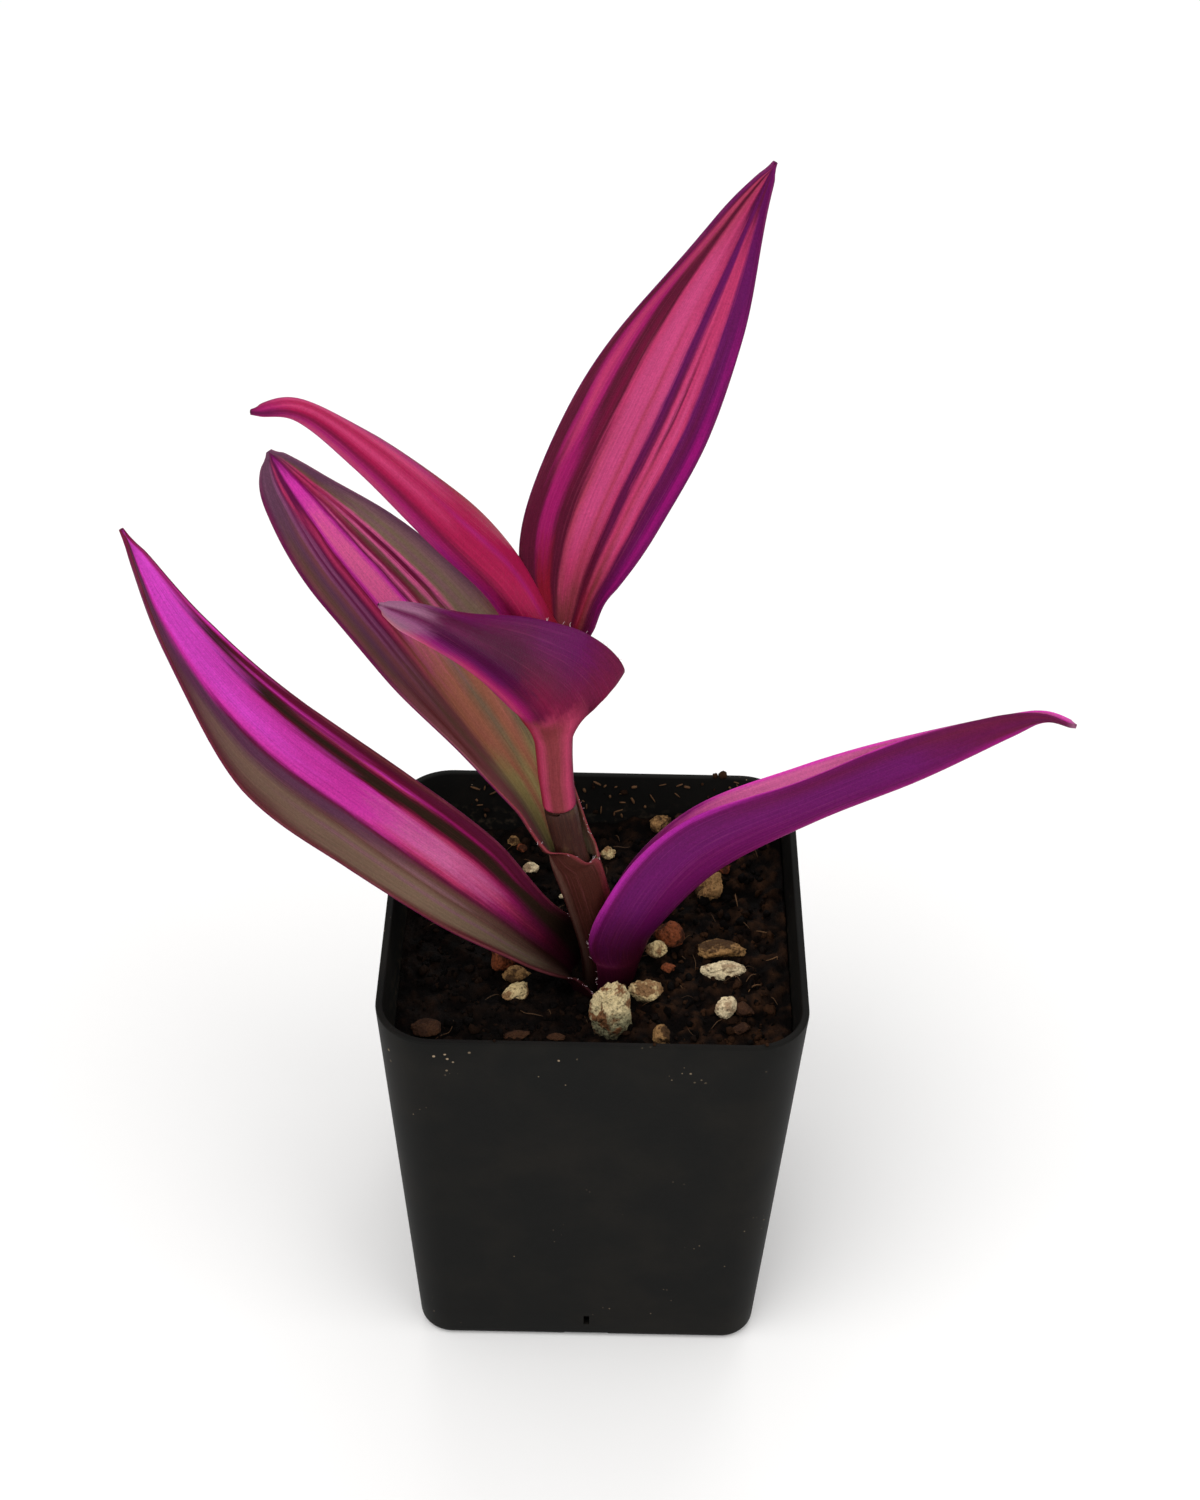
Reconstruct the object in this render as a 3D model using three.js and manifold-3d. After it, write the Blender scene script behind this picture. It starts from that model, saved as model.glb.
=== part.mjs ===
// Young purple tradescantia in a square black nursery pot.
// Millimetres, +Z up. The origin is the middle of the underside of the pot, on the surface it stands on.
// The front of the pot faces -Y.
import * as THREE from "three";
import { mergeVertices } from "three/addons/utils/BufferGeometryUtils.js";
import Module from "manifold-3d";

// ---------------------------------------------------------------- driving dimensions

const GAP = 0.3; // clearance between touching pieces
const LEAF_THICKNESS = 0.7;

const POT = {
  height: 70,
  topWidth: 63.5,
  baseWidth: 53.5,
  topRadius: 8.7, // corner radius, seen from above
  baseRadius: 5.2,
  wall: 1.1,
  floor: 1.8,
  edge: 1.5, // rounding of the lower outside edge
  lip: 0.3, // rounding of the rim
  notchWidth: 7, // foot gap in the middle of each side
  notchHeight: 1,
  notchDepth: 6,
  slitWidth: 0.9, // small drain slit above each foot gap
  slitHeight: 2.2,
  slitFrom: 3.3,
};

const SOIL = {
  level: 60.8, // mean height of the surface
  riseX: 0.06, // the surface climbs to the right
  riseY: 0.03, // and a little to the back
  hollow: { x: 0.5, y: -5, depth: 3.2, spread: 8 }, // around the plant
  lowCorner: { x: -22, y: 22, depth: 2.4, spread: 13 }, // back left
  roughness: 0.45,
  holeRadius: 6.1, // plain hole that the plant stands in
  holeFloor: 51,
  looseGrains: 48,
  chunkLift: 0.15, // centre of a large grain above the soil, as a share of its height
  looseLift: -0.1,
  seed: 11,
};

// Larger pieces on the soil: x, y, length, width, height, turn in degrees.
const CHUNKS = [
  [2.8, -17, 6.6, 6, 11, 20], // big pumice stone in front of the plant
  [8.1, -9.4, 5.4, 3.6, 3.7, -15],
  [9.7, -1, 3.3, 2.7, 2.8, 20],
  [11.7, 1.6, 5, 3.8, 3.9, -30],
  [19.8, -2.8, 7.6, 3.2, 3.2, 3],
  [20, -6.5, 7.4, 3.2, 3.2, 0],
  [20.1, -15.2, 3.8, 3.4, 3.6, 30],
  [22.8, -15.4, 2.8, 3.2, 2, 40],
  [22.2, -19.2, 3.2, 2, 1.5, 15],
  [-13.9, -2.7, 5.2, 4, 4.2, 60],
  [-11.7, -6, 4.5, 3, 3.1, 10],
  [-11.8, -9.7, 4.8, 3, 3, 35],
  [10.5, 27.6, 3.8, 3, 3.6, 25],
  [2, 20.9, 2.8, 2.3, 2.4, 40],
  [18.3, 11.6, 5.8, 4.3, 4.2, 50],
  [20.5, 16.7, 2.5, 2.1, 2, 20],
  [-25, -17.2, 4.6, 3.8, 1.6, 0],
  [-11.4, -18.9, 4.4, 1.6, 1.4, 5],
  [10.4, -19.9, 2.9, 2.8, 3.3, 70],
  [22, 25, 3, 2.2, 1.8, -20],
  [-13.4, 26.4, 2.1, 1.8, 1.9, 0],
  [-10.4, 19.4, 2.7, 2.1, 2.1, 10],
];

// Axis and radius of the stem, from its foot in the soil to its top: x, y, z, radius.
const STEM = [
  [1.8, -3, 51.4, 2.5],
  [1.8, -3, 60, 2.5],
  [0.6, -3, 67, 2.5],
  [-1.9, -3, 76, 2.35],
  [-4, -3, 84, 2.3],
  [-5.3, -3, 90.5, 2.4],
  [-5.4, -3, 91.2, 1.6],
  [-6.1, -2.9, 98, 1.5],
  [-6.4, -2.6, 104, 1],
  [-6.6, -2.4, 108.6, 0.8],
];

// A leaf grows out of a sheath round the stem. Each sheath row is a height on the stem, the sheath's
// radius and how far it closes (degrees each way from the keel; 180 is a closed tube).
// Each blade row is x, y, z of the keel, the direction that the upper face looks in (x, y, z),
// the half widths left and right of the keel, how far the left and the right half curl up (degrees),
// and how sharply the blade is folded at the keel (0 is round).
const LEAVES = [
  {
    name: "leaf_low_left",
    color: 0x8f3b78,
    sheathFace: [1, 0],
    sheath: [
      [53, 5.2, 82],
      [57, 5.3, 74],
    ],
    blade: [
      [-5.6, -3.4, 60.8, 0.8, -0.2, 0.45, 7.4, 6.6, 70, 66, 0.15],
      [-11.1, -4, 67, 0.6, -0.6, 0.5, 9.6, 7.4, 78, 72, 0.3],
      [-21.6, -2, 75, 0.4, -0.7, 0.6, 10.6, 12, 62, 78, 0.42],
      [-35.2, -1, 86.6, 0.35, -0.7, 0.6, 12, 12.7, 62, 78, 0.45],
      [-49.8, -1, 101.4, 0.35, -0.7, 0.6, 12.4, 11.2, 68, 72, 0.45],
      [-60, -1, 118.8, 0.4, -0.7, 0.6, 6.3, 6.6, 75, 75, 0.45],
      [-66, 0, 136, 0.5, -0.6, 0.6, 0.5, 0.5, 80, 80, 0.3],
    ],
    wave: { height: 0.3, count: 3 },
  },
  {
    name: "leaf_low_right",
    color: 0x7a1f86,
    sheathFace: [-1, 0.1],
    sheath: [
      [53, 4.25, 100],
      [57.5, 4.3, 100],
    ],
    blade: [
      [7.2, -3.6, 63, -0.85, 0.08, 0.5, 8, 9, 92, 94, 0.1],
      [9.6, -5, 70.1, -0.75, 0.3, 0.65, 10.4, 10.8, 96, 98, 0.3],
      [18.4, -3.8, 80.5, -0.5, 0.5, 0.8, 10.8, 9.5, 98, 122, 0.45],
      [32.4, -3, 89.6, -0.4, 0.5, 0.8, 8.8, 6.9, 104, 124, 0.45],
      [46.8, -3, 97.6, -0.4, 0.5, 0.8, 6.9, 7, 118, 122, 0.45],
      [59, -3, 105.7, -0.4, 0.5, 0.8, 3.4, 3.6, 115, 115, 0.45],
      [63.8, -3, 108.6, -0.2, 0.1, 0.95, 1.4, 1.6, 90, 100, 0.4],
      [68.5, -3, 107.6, -0.2, -0.4, 0.9, 0.5, 0.5, 60, 60, 0.3],
    ],
    wave: { height: 0.3, count: 2 },
  },
  {
    name: "leaf_mid_left",
    color: 0x82466a,
    sheathFace: [1, -0.15],
    sheathClosedTo: 79.5,
    sheath: [
      [53, 3.2, 180],
      [62, 3.2, 180],
      [71.5, 3.2, 180],
      [79.5, 3.3, 180],
    ],
    blade: [
      [-6.8, -1.3, 82.6, 0.8, -0.6, 0.15, 5.2, 7.8, 78, 124, 0],
      [-11, 2, 90.6, 0.7, -0.7, 0.2, 8.9, 9.4, 76, 96, 0.3],
      [-18.5, 5, 101, 0.6, -0.6, 0.5, 13, 12.6, 62, 60, 0.45],
      [-27.5, 7, 114.5, 0.55, -0.6, 0.6, 14.6, 11.8, 50, 50, 0.45],
      [-36.6, 7.5, 128, 0.5, -0.65, 0.55, 12.4, 9.2, 50, 50, 0.45],
      [-43, 9, 137.5, 0.4, -0.8, 0.4, 7, 4.6, 50, 50, 0.4],
      [-46.6, 11, 142.3, 0.2, -1, 0.1, 1, 1, 40, 40, 0.3],
    ],
    wave: { height: 0.35, count: 2.5 },
  },
  {
    name: "leaf_front",
    color: 0x7c2c62,
    sheathFace: [0, 1],
    sheathClosedTo: 103.2,
    sheath: [
      [91.6, 2.15, 180],
      [97, 2.25, 180],
      [103.2, 2.5, 180],
    ],
    blade: [
      [-7, -5.8, 107, -0.2, 0.93, 0.25, 13.8, 8, 46, 120, 0.15],
      [-7.9, -9.5, 113, -0.5, 0.8, 0.22, 13.3, 9, 44, 108, 0.35],
      [-11.2, -15.5, 122.6, -0.62, 0.73, 0.22, 9.4, 9.4, 52, 100, 0.45],
      [-16.2, -24, 134, -0.68, 0.7, 0.15, 5.2, 8, 70, 95, 0.45],
      [-21.6, -32, 143.8, -0.75, 0.6, 0, 3.2, 4.6, 80, 90, 0.45],
      [-27, -38, 150.6, -0.8, 0.55, -0.1, 0.5, 0.5, 80, 80, 0.3],
    ],
    wave: { height: 0.4, count: 2 },
  },
  {
    name: "leaf_upper_left",
    color: 0xa8325f,
    sheathFace: [0.4, 0.9],
    sheathClosedTo: 108,
    sheath: [
      [105.4, 1.6, 180],
      [108, 1.6, 180],
    ],
    blade: [
      [-7.2, -4.8, 113, 0.25, 0.95, 0, 6.6, 5.4, 104, 112, 0.1],
      [-9.4, -6, 121, 0, 1, 0, 8.8, 7.2, 108, 118, 0.35],
      [-13.2, -9.4, 132, -0.2, 1, 0.05, 9.7, 8, 100, 112, 0.45],
      [-20, -15, 144.5, -0.25, 0.95, 0.05, 8.5, 8.2, 93, 105, 0.45],
      [-29, -19, 158.2, -0.3, 0.95, 0.05, 6, 6.6, 100, 104, 0.45],
      [-37, -22, 167.6, -0.3, 0.95, -0.1, 3.2, 3.8, 104, 104, 0.45],
      [-43, -25, 169.8, -0.4, 0.9, -0.15, 0.5, 0.5, 90, 90, 0.3],
    ],
    wave: { height: 0.3, count: 2 },
  },
  {
    name: "leaf_top",
    color: 0xb0447c,
    sheathFace: [0.1, -1],
    sheath: [],
    blade: [
      [-6.4, -1.7, 110.4, 0.1, -1, 0, 1.4, 1.4, 95, 95, 0],
      [-5.8, 0.7, 114.6, 0.1, -1, 0.1, 2, 2, 50, 50, 0.1],
      [-5, 3.6, 119.6, 0.05, -1, 0.1, 5.3, 4.7, 60, 60, 0.2],
      [-3.8, 6.6, 126.4, 0.1, -1, 0.1, 9.6, 7.5, 50, 55, 0.35],
      [-0.4, 7.7, 137.6, 0.2, -0.95, 0.05, 13.7, 9.3, 40, 42, 0.42],
      [5, 7.5, 152, 0.3, -0.95, 0.1, 13.2, 10.1, 34, 34, 0.42],
      [11, 7.5, 167, 0.3, -0.95, 0.15, 10.7, 7.9, 36, 36, 0.42],
      [17, 7, 180.5, 0.25, -0.95, 0.2, 5.3, 3.7, 50, 50, 0.4],
      [21.1, 6.5, 189.1, 0.1, -0.95, 0.25, 0.5, 0.5, 60, 60, 0.3],
    ],
    wave: { height: 0.45, count: 3.5 },
  },
];

const ROWS_PER_STATION = 4;
const COLUMNS_PER_HALF = 7;

// ---------------------------------------------------------------- small helpers

const wasm = await Module();
wasm.setup();

const radians = THREE.MathUtils.degToRad;
const mix = THREE.MathUtils.lerp;

// Random numbers from 0 to 1, the same on every run.
function seededRandom(seed) {
  let state = seed >>> 0;
  return () => {
    state = (state + 0x6d2b79f5) >>> 0;
    let t = Math.imul(state ^ (state >>> 15), state | 1);
    t ^= t + Math.imul(t ^ (t >>> 7), t | 61);
    return ((t ^ (t >>> 14)) >>> 0) / 4294967296;
  };
}

// Value at u (0 = first row) of a smooth curve through the rows of a table, column by column.
function smoothRow(rows, u) {
  const last = rows.length - 1;
  const i = Math.min(Math.floor(u), last - 1);
  const f = u - i;
  return rows[i].map((p1, k) => {
    const p2 = rows[i + 1][k];
    const p0 = i > 0 ? rows[i - 1][k] : 2 * p1 - p2;
    const p3 = i < last - 1 ? rows[i + 2][k] : 2 * p2 - p1;
    const slope = -p0 + p2;
    const square = 2 * p0 - 5 * p1 + 4 * p2 - p3;
    const cube = -p0 + 3 * p1 - 3 * p2 + p3;
    return 0.5 * (2 * p1 + slope * f + square * f * f + cube * f * f * f);
  });
}

function geometryOf(points, triangles) {
  const geometry = new THREE.BufferGeometry();
  const flat = points.flatMap((p) => [p.x, p.y, p.z]);
  geometry.setAttribute("position", new THREE.Float32BufferAttribute(flat, 3));
  geometry.setIndex(triangles);
  return geometry;
}

function solidOf(geometry) {
  const merged = mergeVertices(
    new THREE.BufferGeometry()
      .setAttribute("position", geometry.getAttribute("position"))
      .setIndex(geometry.index),
    1e-4,
  );
  return new wasm.Manifold(
    new wasm.Mesh({
      numProp: 3,
      vertProperties: new Float32Array(merged.attributes.position.array),
      triVerts: new Uint32Array(merged.index.array),
    }),
  );
}

function meshOf(name, geometry, color, roughness) {
  const material = new THREE.MeshStandardMaterial({ color, roughness, metalness: 0 });
  const mesh = new THREE.Mesh(geometry, material);
  mesh.name = name;
  return mesh;
}

function geometryOfSolid(solid) {
  const { vertProperties, triVerts, numProp, numVert } = solid.getMesh();
  const points = [];
  for (let i = 0; i < numVert; i++) points.push(new THREE.Vector3().fromArray(vertProperties, i * numProp));
  return geometryOf(points, Array.from(triVerts));
}

// Closed body through rings of equal point count, each ring anticlockwise seen from the next one.
function loft(rings) {
  const count = rings[0].length;
  const points = rings.flat();
  const triangles = [];
  for (let r = 0; r + 1 < rings.length; r++) {
    for (let i = 0; i < count; i++) {
      const a = r * count + i;
      const b = r * count + ((i + 1) % count);
      triangles.push(a, b, b + count, a, b + count, a + count);
    }
  }
  const capCentre = (ring) => {
    const centre = new THREE.Vector3();
    ring.forEach((p) => centre.addScaledVector(p, 1 / count));
    return points.push(centre) - 1;
  };
  const bottom = capCentre(rings[0]);
  const top = capCentre(rings[rings.length - 1]);
  const start = (rings.length - 1) * count;
  for (let i = 0; i < count; i++) {
    const next = (i + 1) % count;
    triangles.push(bottom, next, i, top, start + i, start + next);
  }
  return geometryOf(points, triangles);
}

// Rounded square seen from above, anticlockwise, with straightSteps points along each side.
function roundedSquare(half, radius, z, cornerSteps, straightSteps) {
  const ring = [];
  const arm = half - radius;
  for (let corner = 0; corner < 4; corner++) {
    const turn = (corner * Math.PI) / 2;
    const place = (x, y) =>
      ring.push(new THREE.Vector3(x * Math.cos(turn) - y * Math.sin(turn), x * Math.sin(turn) + y * Math.cos(turn), z));
    for (let i = 0; i <= cornerSteps; i++) {
      const angle = (i / cornerSteps) * (Math.PI / 2);
      place(arm + radius * Math.cos(angle), arm + radius * Math.sin(angle));
    }
    for (let i = 1; i < straightSteps; i++) place(mix(arm, -arm, i / straightSteps), half);
  }
  return ring;
}

// ---------------------------------------------------------------- pot

// Ring of the pot's outside at height z, moved inwards by inset.
function potRing(z, inset, cornerSteps = 8, straightSteps = 1) {
  const t = z / POT.height;
  const half = mix(POT.baseWidth, POT.topWidth, t) / 2 - inset;
  const radius = Math.max(mix(POT.baseRadius, POT.topRadius, t) - inset, 0.6);
  return roundedSquare(half, radius, z, cornerSteps, straightSteps);
}

function box(width, depth, height, x, y, z) {
  return wasm.Manifold.cube([width, depth, height], true).translate([x, y, z]);
}

function pot() {
  const { height, wall, floor, edge, lip } = POT;
  const shell = solidOf(
    loft([
      potRing(0, edge),
      potRing(0.3 * edge, 0.3 * edge),
      potRing(edge, 0),
      potRing(height - lip, 0),
      potRing(height, lip),
      potRing(height, wall - lip),
      potRing(height - lip, wall),
      potRing(floor + edge, wall),
      potRing(floor + 0.3 * edge, wall + 0.3 * edge),
      potRing(floor, wall + edge),
    ]),
  );
  const { notchWidth, notchHeight, notchDepth, slitWidth, slitHeight, slitFrom } = POT;
  const notch = box(notchWidth, notchDepth, 2 * notchHeight, 0, -POT.baseWidth / 2, 0);
  const slit = box(slitWidth, 8, slitHeight, 0, -POT.baseWidth / 2, slitFrom + slitHeight / 2);
  let body = shell;
  for (let side = 0; side < 4; side++) {
    body = body.subtract(notch.rotate([0, 0, 90 * side])).subtract(slit.rotate([0, 0, 90 * side]));
  }
  return meshOf("pot", geometryOfSolid(body), 0x232321, 0.55);
}

// ---------------------------------------------------------------- soil

function dip(x, y, place) {
  const squared = (x - place.x) ** 2 + (y - place.y) ** 2;
  return place.depth * Math.exp(-squared / (2 * place.spread ** 2));
}

function soilHeight(x, y) {
  const slope = SOIL.riseX * x + SOIL.riseY * y;
  const rough = Math.sin(0.9 * x + 1.7 * Math.sin(0.37 * y)) * Math.cos(0.8 * y - 1.3 * Math.sin(0.41 * x));
  const dips = dip(x, y, SOIL.hollow) + dip(x, y, SOIL.lowCorner);
  return SOIL.level + slope + SOIL.roughness * rough - dips;
}

// Stony grain: a low icosahedron with pushed corners, its lower part sunk in the soil.
function grain(random, x, y, length, width, height, turn, lift, detail) {
  const shape = mergeVertices(new THREE.IcosahedronGeometry(0.5, detail).deleteAttribute("normal").deleteAttribute("uv"));
  const place = shape.getAttribute("position");
  for (let i = 0; i < place.count; i++) {
    const push = 0.84 + 0.32 * random();
    place.setXYZ(i, place.getX(i) * push, place.getY(i) * push, place.getZ(i) * push);
  }
  shape.scale(length, width, height);
  shape.rotateZ(radians(turn));
  shape.translate(x, y, soilHeight(x, y) + lift * height);
  return solidOf(shape);
}

function soilGrains() {
  const random = seededRandom(SOIL.seed);
  const grains = CHUNKS.map(([x, y, length, width, height, turn], i) =>
    grain(random, x, y, length, width, height, turn, SOIL.chunkLift, i === 0 ? 1 : 0),
  );
  const reach = POT.topWidth / 2 - 5.5;
  const clear = SOIL.holeRadius + 2.2;
  while (grains.length < CHUNKS.length + SOIL.looseGrains) {
    const x = mix(-reach, reach, random());
    const y = mix(-reach, reach, random());
    const size = mix(1.1, 2.6, random() ** 2);
    if (Math.hypot(x - STEM[0][0], y - STEM[0][1]) < clear) continue;
    grains.push(grain(random, x, y, size * 1.4, size, size * 0.9, 360 * random(), SOIL.looseLift, 0));
  }
  return wasm.Manifold.union(grains);
}

function soil() {
  const inset = POT.wall + GAP;
  const low = POT.floor + GAP;
  const ring = (z, extra) => potRing(z, inset + extra, 5, 6);
  const rim = ring(SOIL.level, GAP);
  const surface = [1, 0.93, 0.84, 0.74, 0.64, 0.54, 0.44, 0.34, 0.24, 0.14].map((share) =>
    rim.map(({ x, y }) => new THREE.Vector3(x * share, y * share, soilHeight(x * share, y * share))),
  );
  const body = solidOf(loft([ring(low, POT.edge), ring(low + POT.edge, 0), ring(56, 0), ...surface]));
  const [x, y] = STEM[0];
  const hole = wasm.Manifold.cylinder(30, SOIL.holeRadius, SOIL.holeRadius, 32).translate([x, y, SOIL.holeFloor]);
  return meshOf("soil", geometryOfSolid(body.add(soilGrains()).subtract(hole)), 0x2a1c14, 0.95);
}

// ---------------------------------------------------------------- stem

// Point on the stem's axis at height z, and the axis's direction there.
function stemAt(z) {
  const i = Math.max(STEM.findIndex((row) => row[2] > z) - 1, 0);
  const u = i + (z - STEM[i][2]) / (STEM[i + 1][2] - STEM[i][2]);
  return new THREE.Vector3(...smoothRow(STEM.map(([x, y]) => [x, y]), u), z);
}

function ringAround(centre, along, radius, count) {
  const side = new THREE.Vector3(1, 0, 0).addScaledVector(along, -along.x).normalize();
  const other = new THREE.Vector3().crossVectors(along, side);
  return Array.from({ length: count }, (_, i) => {
    const angle = (2 * Math.PI * i) / count;
    return centre
      .clone()
      .addScaledVector(side, radius * Math.cos(angle))
      .addScaledVector(other, radius * Math.sin(angle));
  });
}

function stem() {
  const rings = STEM.map(([x, y, z, radius], i) => {
    const before = new THREE.Vector3(...STEM[Math.max(i - 1, 0)]);
    const after = new THREE.Vector3(...STEM[Math.min(i + 1, STEM.length - 1)]);
    return ringAround(new THREE.Vector3(x, y, z), after.sub(before).normalize(), radius, 20);
  });
  return meshOf("stem", loft(rings), 0x7a5a4c, 0.6);
}

// ---------------------------------------------------------------- leaves

// Sheath row in the same form as a blade row.
function sheathRow([z, radius, closing], [faceX, faceY]) {
  const face = new THREE.Vector3(faceX, faceY, 0).normalize();
  const keel = stemAt(z).addScaledVector(face, -radius);
  const half = radius * radians(closing);
  return [keel.x, keel.y, keel.z, face.x, face.y, 0, half, half, closing, closing, 0];
}

// Cross-section of a half blade: points from the keel out, as [sideways, up, slope angle].
function halfSection(half, curl, fold) {
  const slope = (s) => radians(curl) * (fold * (1 - Math.exp(-s / 0.1)) + (1 - fold) * s);
  const section = [[0, 0, 0]];
  const fine = 6;
  let across = 0;
  let up = 0;
  for (let i = 0; i < COLUMNS_PER_HALF * fine; i++) {
    const angle = slope((i + 0.5) / (COLUMNS_PER_HALF * fine));
    across += (half / (COLUMNS_PER_HALF * fine)) * Math.cos(angle);
    up += (half / (COLUMNS_PER_HALF * fine)) * Math.sin(angle);
    if ((i + 1) % fine === 0) section.push([across, up, slope((i + 1) / (COLUMNS_PER_HALF * fine))]);
  }
  return section;
}

// One row of the leaf, from the left margin to the right, as points of the lower and the upper face.
function leafRow(stations, u, isTube, wave) {
  const last = stations.length - 1;
  const values = smoothRow(stations, u);
  const [x, y, z, faceX, faceY, faceZ, left, right, curlLeft, curlRight] = values;
  const fold = isTube ? 0 : Math.max(values[10], 0);
  const ahead = new THREE.Vector3(...smoothRow(stations, Math.min(u + 0.01, last)));
  const behind = new THREE.Vector3(...smoothRow(stations, Math.max(u - 0.01, 0)));
  const along = ahead.sub(behind).normalize();
  const face = new THREE.Vector3(faceX, faceY, faceZ);
  face.addScaledVector(along, -face.dot(along)).normalize();
  const side = new THREE.Vector3().crossVectors(along, face);
  const keel = new THREE.Vector3(x, y, z);
  const halfBlade = (half, curl) => halfSection(Math.max(half, 0.4), isTube ? 180 : Math.min(curl, 176), fold);
  const ripple = wave.height * Math.sin((2 * Math.PI * wave.count * u) / last) * Math.min(u / 2, (last - u) / 2, 1);

  const row = [];
  const place = (sign, step, [across, up, slope]) => {
    const normal = face.clone().multiplyScalar(Math.cos(slope));
    normal.addScaledVector(side, -sign * Math.sin(slope));
    const lift = isTube ? 0 : sign * ripple * (step / COLUMNS_PER_HALF) ** 3;
    const middle = keel.clone().addScaledVector(side, sign * across).addScaledVector(face, up);
    middle.addScaledVector(normal, lift);
    row.push({
      lower: middle.clone().addScaledVector(normal, -LEAF_THICKNESS / 2),
      upper: middle.clone().addScaledVector(normal, LEAF_THICKNESS / 2),
    });
  };
  const leftHalf = halfBlade(left, curlLeft);
  const rightHalf = halfBlade(right, curlRight);
  for (let step = COLUMNS_PER_HALF; step > 0; step--) place(-1, step, leftHalf[step]);
  for (let step = 0; step <= COLUMNS_PER_HALF; step++) place(1, step, rightHalf[step]);
  return row;
}

function leaf({ name, color, sheathFace, sheathClosedTo = -Infinity, sheath, blade, wave }) {
  const stations = [...sheath.map((row) => sheathRow(row, sheathFace)), ...blade];
  const rowCount = (stations.length - 1) * ROWS_PER_STATION + 1;
  const columns = 2 * COLUMNS_PER_HALF + 1;
  const points = [];
  const rows = [];
  const tubeStations = sheath.filter(([z]) => z <= sheathClosedTo).length;
  for (let i = 0; i < rowCount; i++) {
    const u = i / ROWS_PER_STATION;
    const isTube = u <= tubeStations - 1;
    const row = leafRow(stations, u, isTube, wave).map(({ lower, upper }) => [
      points.push(lower) - 1,
      points.push(upper) - 1,
    ]);
    if (isTube) row[columns - 1] = row[0]; // the two margins are one seam
    rows.push({ cells: row, isTube });
  }

  const triangles = [];
  const quad = (a, b, c, d) => triangles.push(a, b, c, a, c, d);
  for (let i = 0; i + 1 < rowCount; i++) {
    const near = rows[i].cells;
    const far = rows[i + 1].cells;
    for (let j = 0; j + 1 < columns; j++) {
      quad(near[j][1], near[j + 1][1], far[j + 1][1], far[j][1]);
      triangles.push(near[j][0], far[j + 1][0], near[j + 1][0], near[j][0], far[j][0], far[j + 1][0]);
    }
    if (rows[i + 1].isTube) continue;
    const end = columns - 1;
    quad(near[end][1], near[end][0], far[end][0], far[end][1]);
    quad(near[0][1], far[0][1], far[0][0], near[0][0]);
  }
  const foot = rows[0].cells;
  const tip = rows[rowCount - 1].cells;
  for (let j = 0; j + 1 < columns; j++) {
    quad(foot[j][1], foot[j][0], foot[j + 1][0], foot[j + 1][1]);
    quad(tip[j][1], tip[j + 1][1], tip[j + 1][0], tip[j][0]);
  }
  return meshOf(name, geometryOf(points, triangles), color, 0.45);
}

// ---------------------------------------------------------------- the part

const group = new THREE.Group();
group.name = "potted_tradescantia";
group.add(pot(), soil(), stem(), ...LEAVES.map(leaf));

export default group;
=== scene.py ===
"""Young purple tradescantia in a square black nursery pot: the finished looks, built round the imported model.

Everything stands in the model's own frame, +Z up, with the pot's front facing -Y. The tables hold
millimetres, which MM turns into metres.
"""

import math

import bmesh
import bpy
import numpy as np
from bpy.props import FloatProperty, FloatVectorProperty, IntProperty, PointerProperty
from mathutils import Matrix, Vector, noise


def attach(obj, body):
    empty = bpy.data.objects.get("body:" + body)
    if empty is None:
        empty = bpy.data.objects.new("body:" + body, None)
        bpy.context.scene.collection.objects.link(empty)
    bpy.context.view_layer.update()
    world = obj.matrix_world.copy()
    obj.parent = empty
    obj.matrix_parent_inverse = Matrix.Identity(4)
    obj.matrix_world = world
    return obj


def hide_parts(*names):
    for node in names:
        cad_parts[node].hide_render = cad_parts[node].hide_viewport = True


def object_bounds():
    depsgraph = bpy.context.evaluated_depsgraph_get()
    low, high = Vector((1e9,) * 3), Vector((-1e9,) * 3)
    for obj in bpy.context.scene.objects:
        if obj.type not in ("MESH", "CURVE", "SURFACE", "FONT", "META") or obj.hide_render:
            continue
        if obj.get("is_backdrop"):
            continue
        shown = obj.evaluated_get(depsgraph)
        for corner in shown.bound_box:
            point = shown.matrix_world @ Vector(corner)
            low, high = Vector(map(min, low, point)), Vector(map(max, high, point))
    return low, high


bl_info = {
    "name": "Potted Tradescantia",
    "version": (1, 0, 0),
    "blender": (4, 5, 0),
    "location": "3D View > Sidebar > Plant",
    "description": "Purple striped tradescantia in a small nursery pot",
    "category": "Add Mesh",
}

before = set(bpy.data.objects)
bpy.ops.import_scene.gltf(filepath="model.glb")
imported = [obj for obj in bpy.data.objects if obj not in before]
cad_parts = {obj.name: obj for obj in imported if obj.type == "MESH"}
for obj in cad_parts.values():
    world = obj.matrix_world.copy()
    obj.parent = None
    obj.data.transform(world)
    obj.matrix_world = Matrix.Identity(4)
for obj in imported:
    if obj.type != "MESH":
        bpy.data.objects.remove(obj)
CAD_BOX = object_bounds()
MM = 0.001
BODY = "root"

# ---------------------------------------------------------------- the plant's own tables

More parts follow.
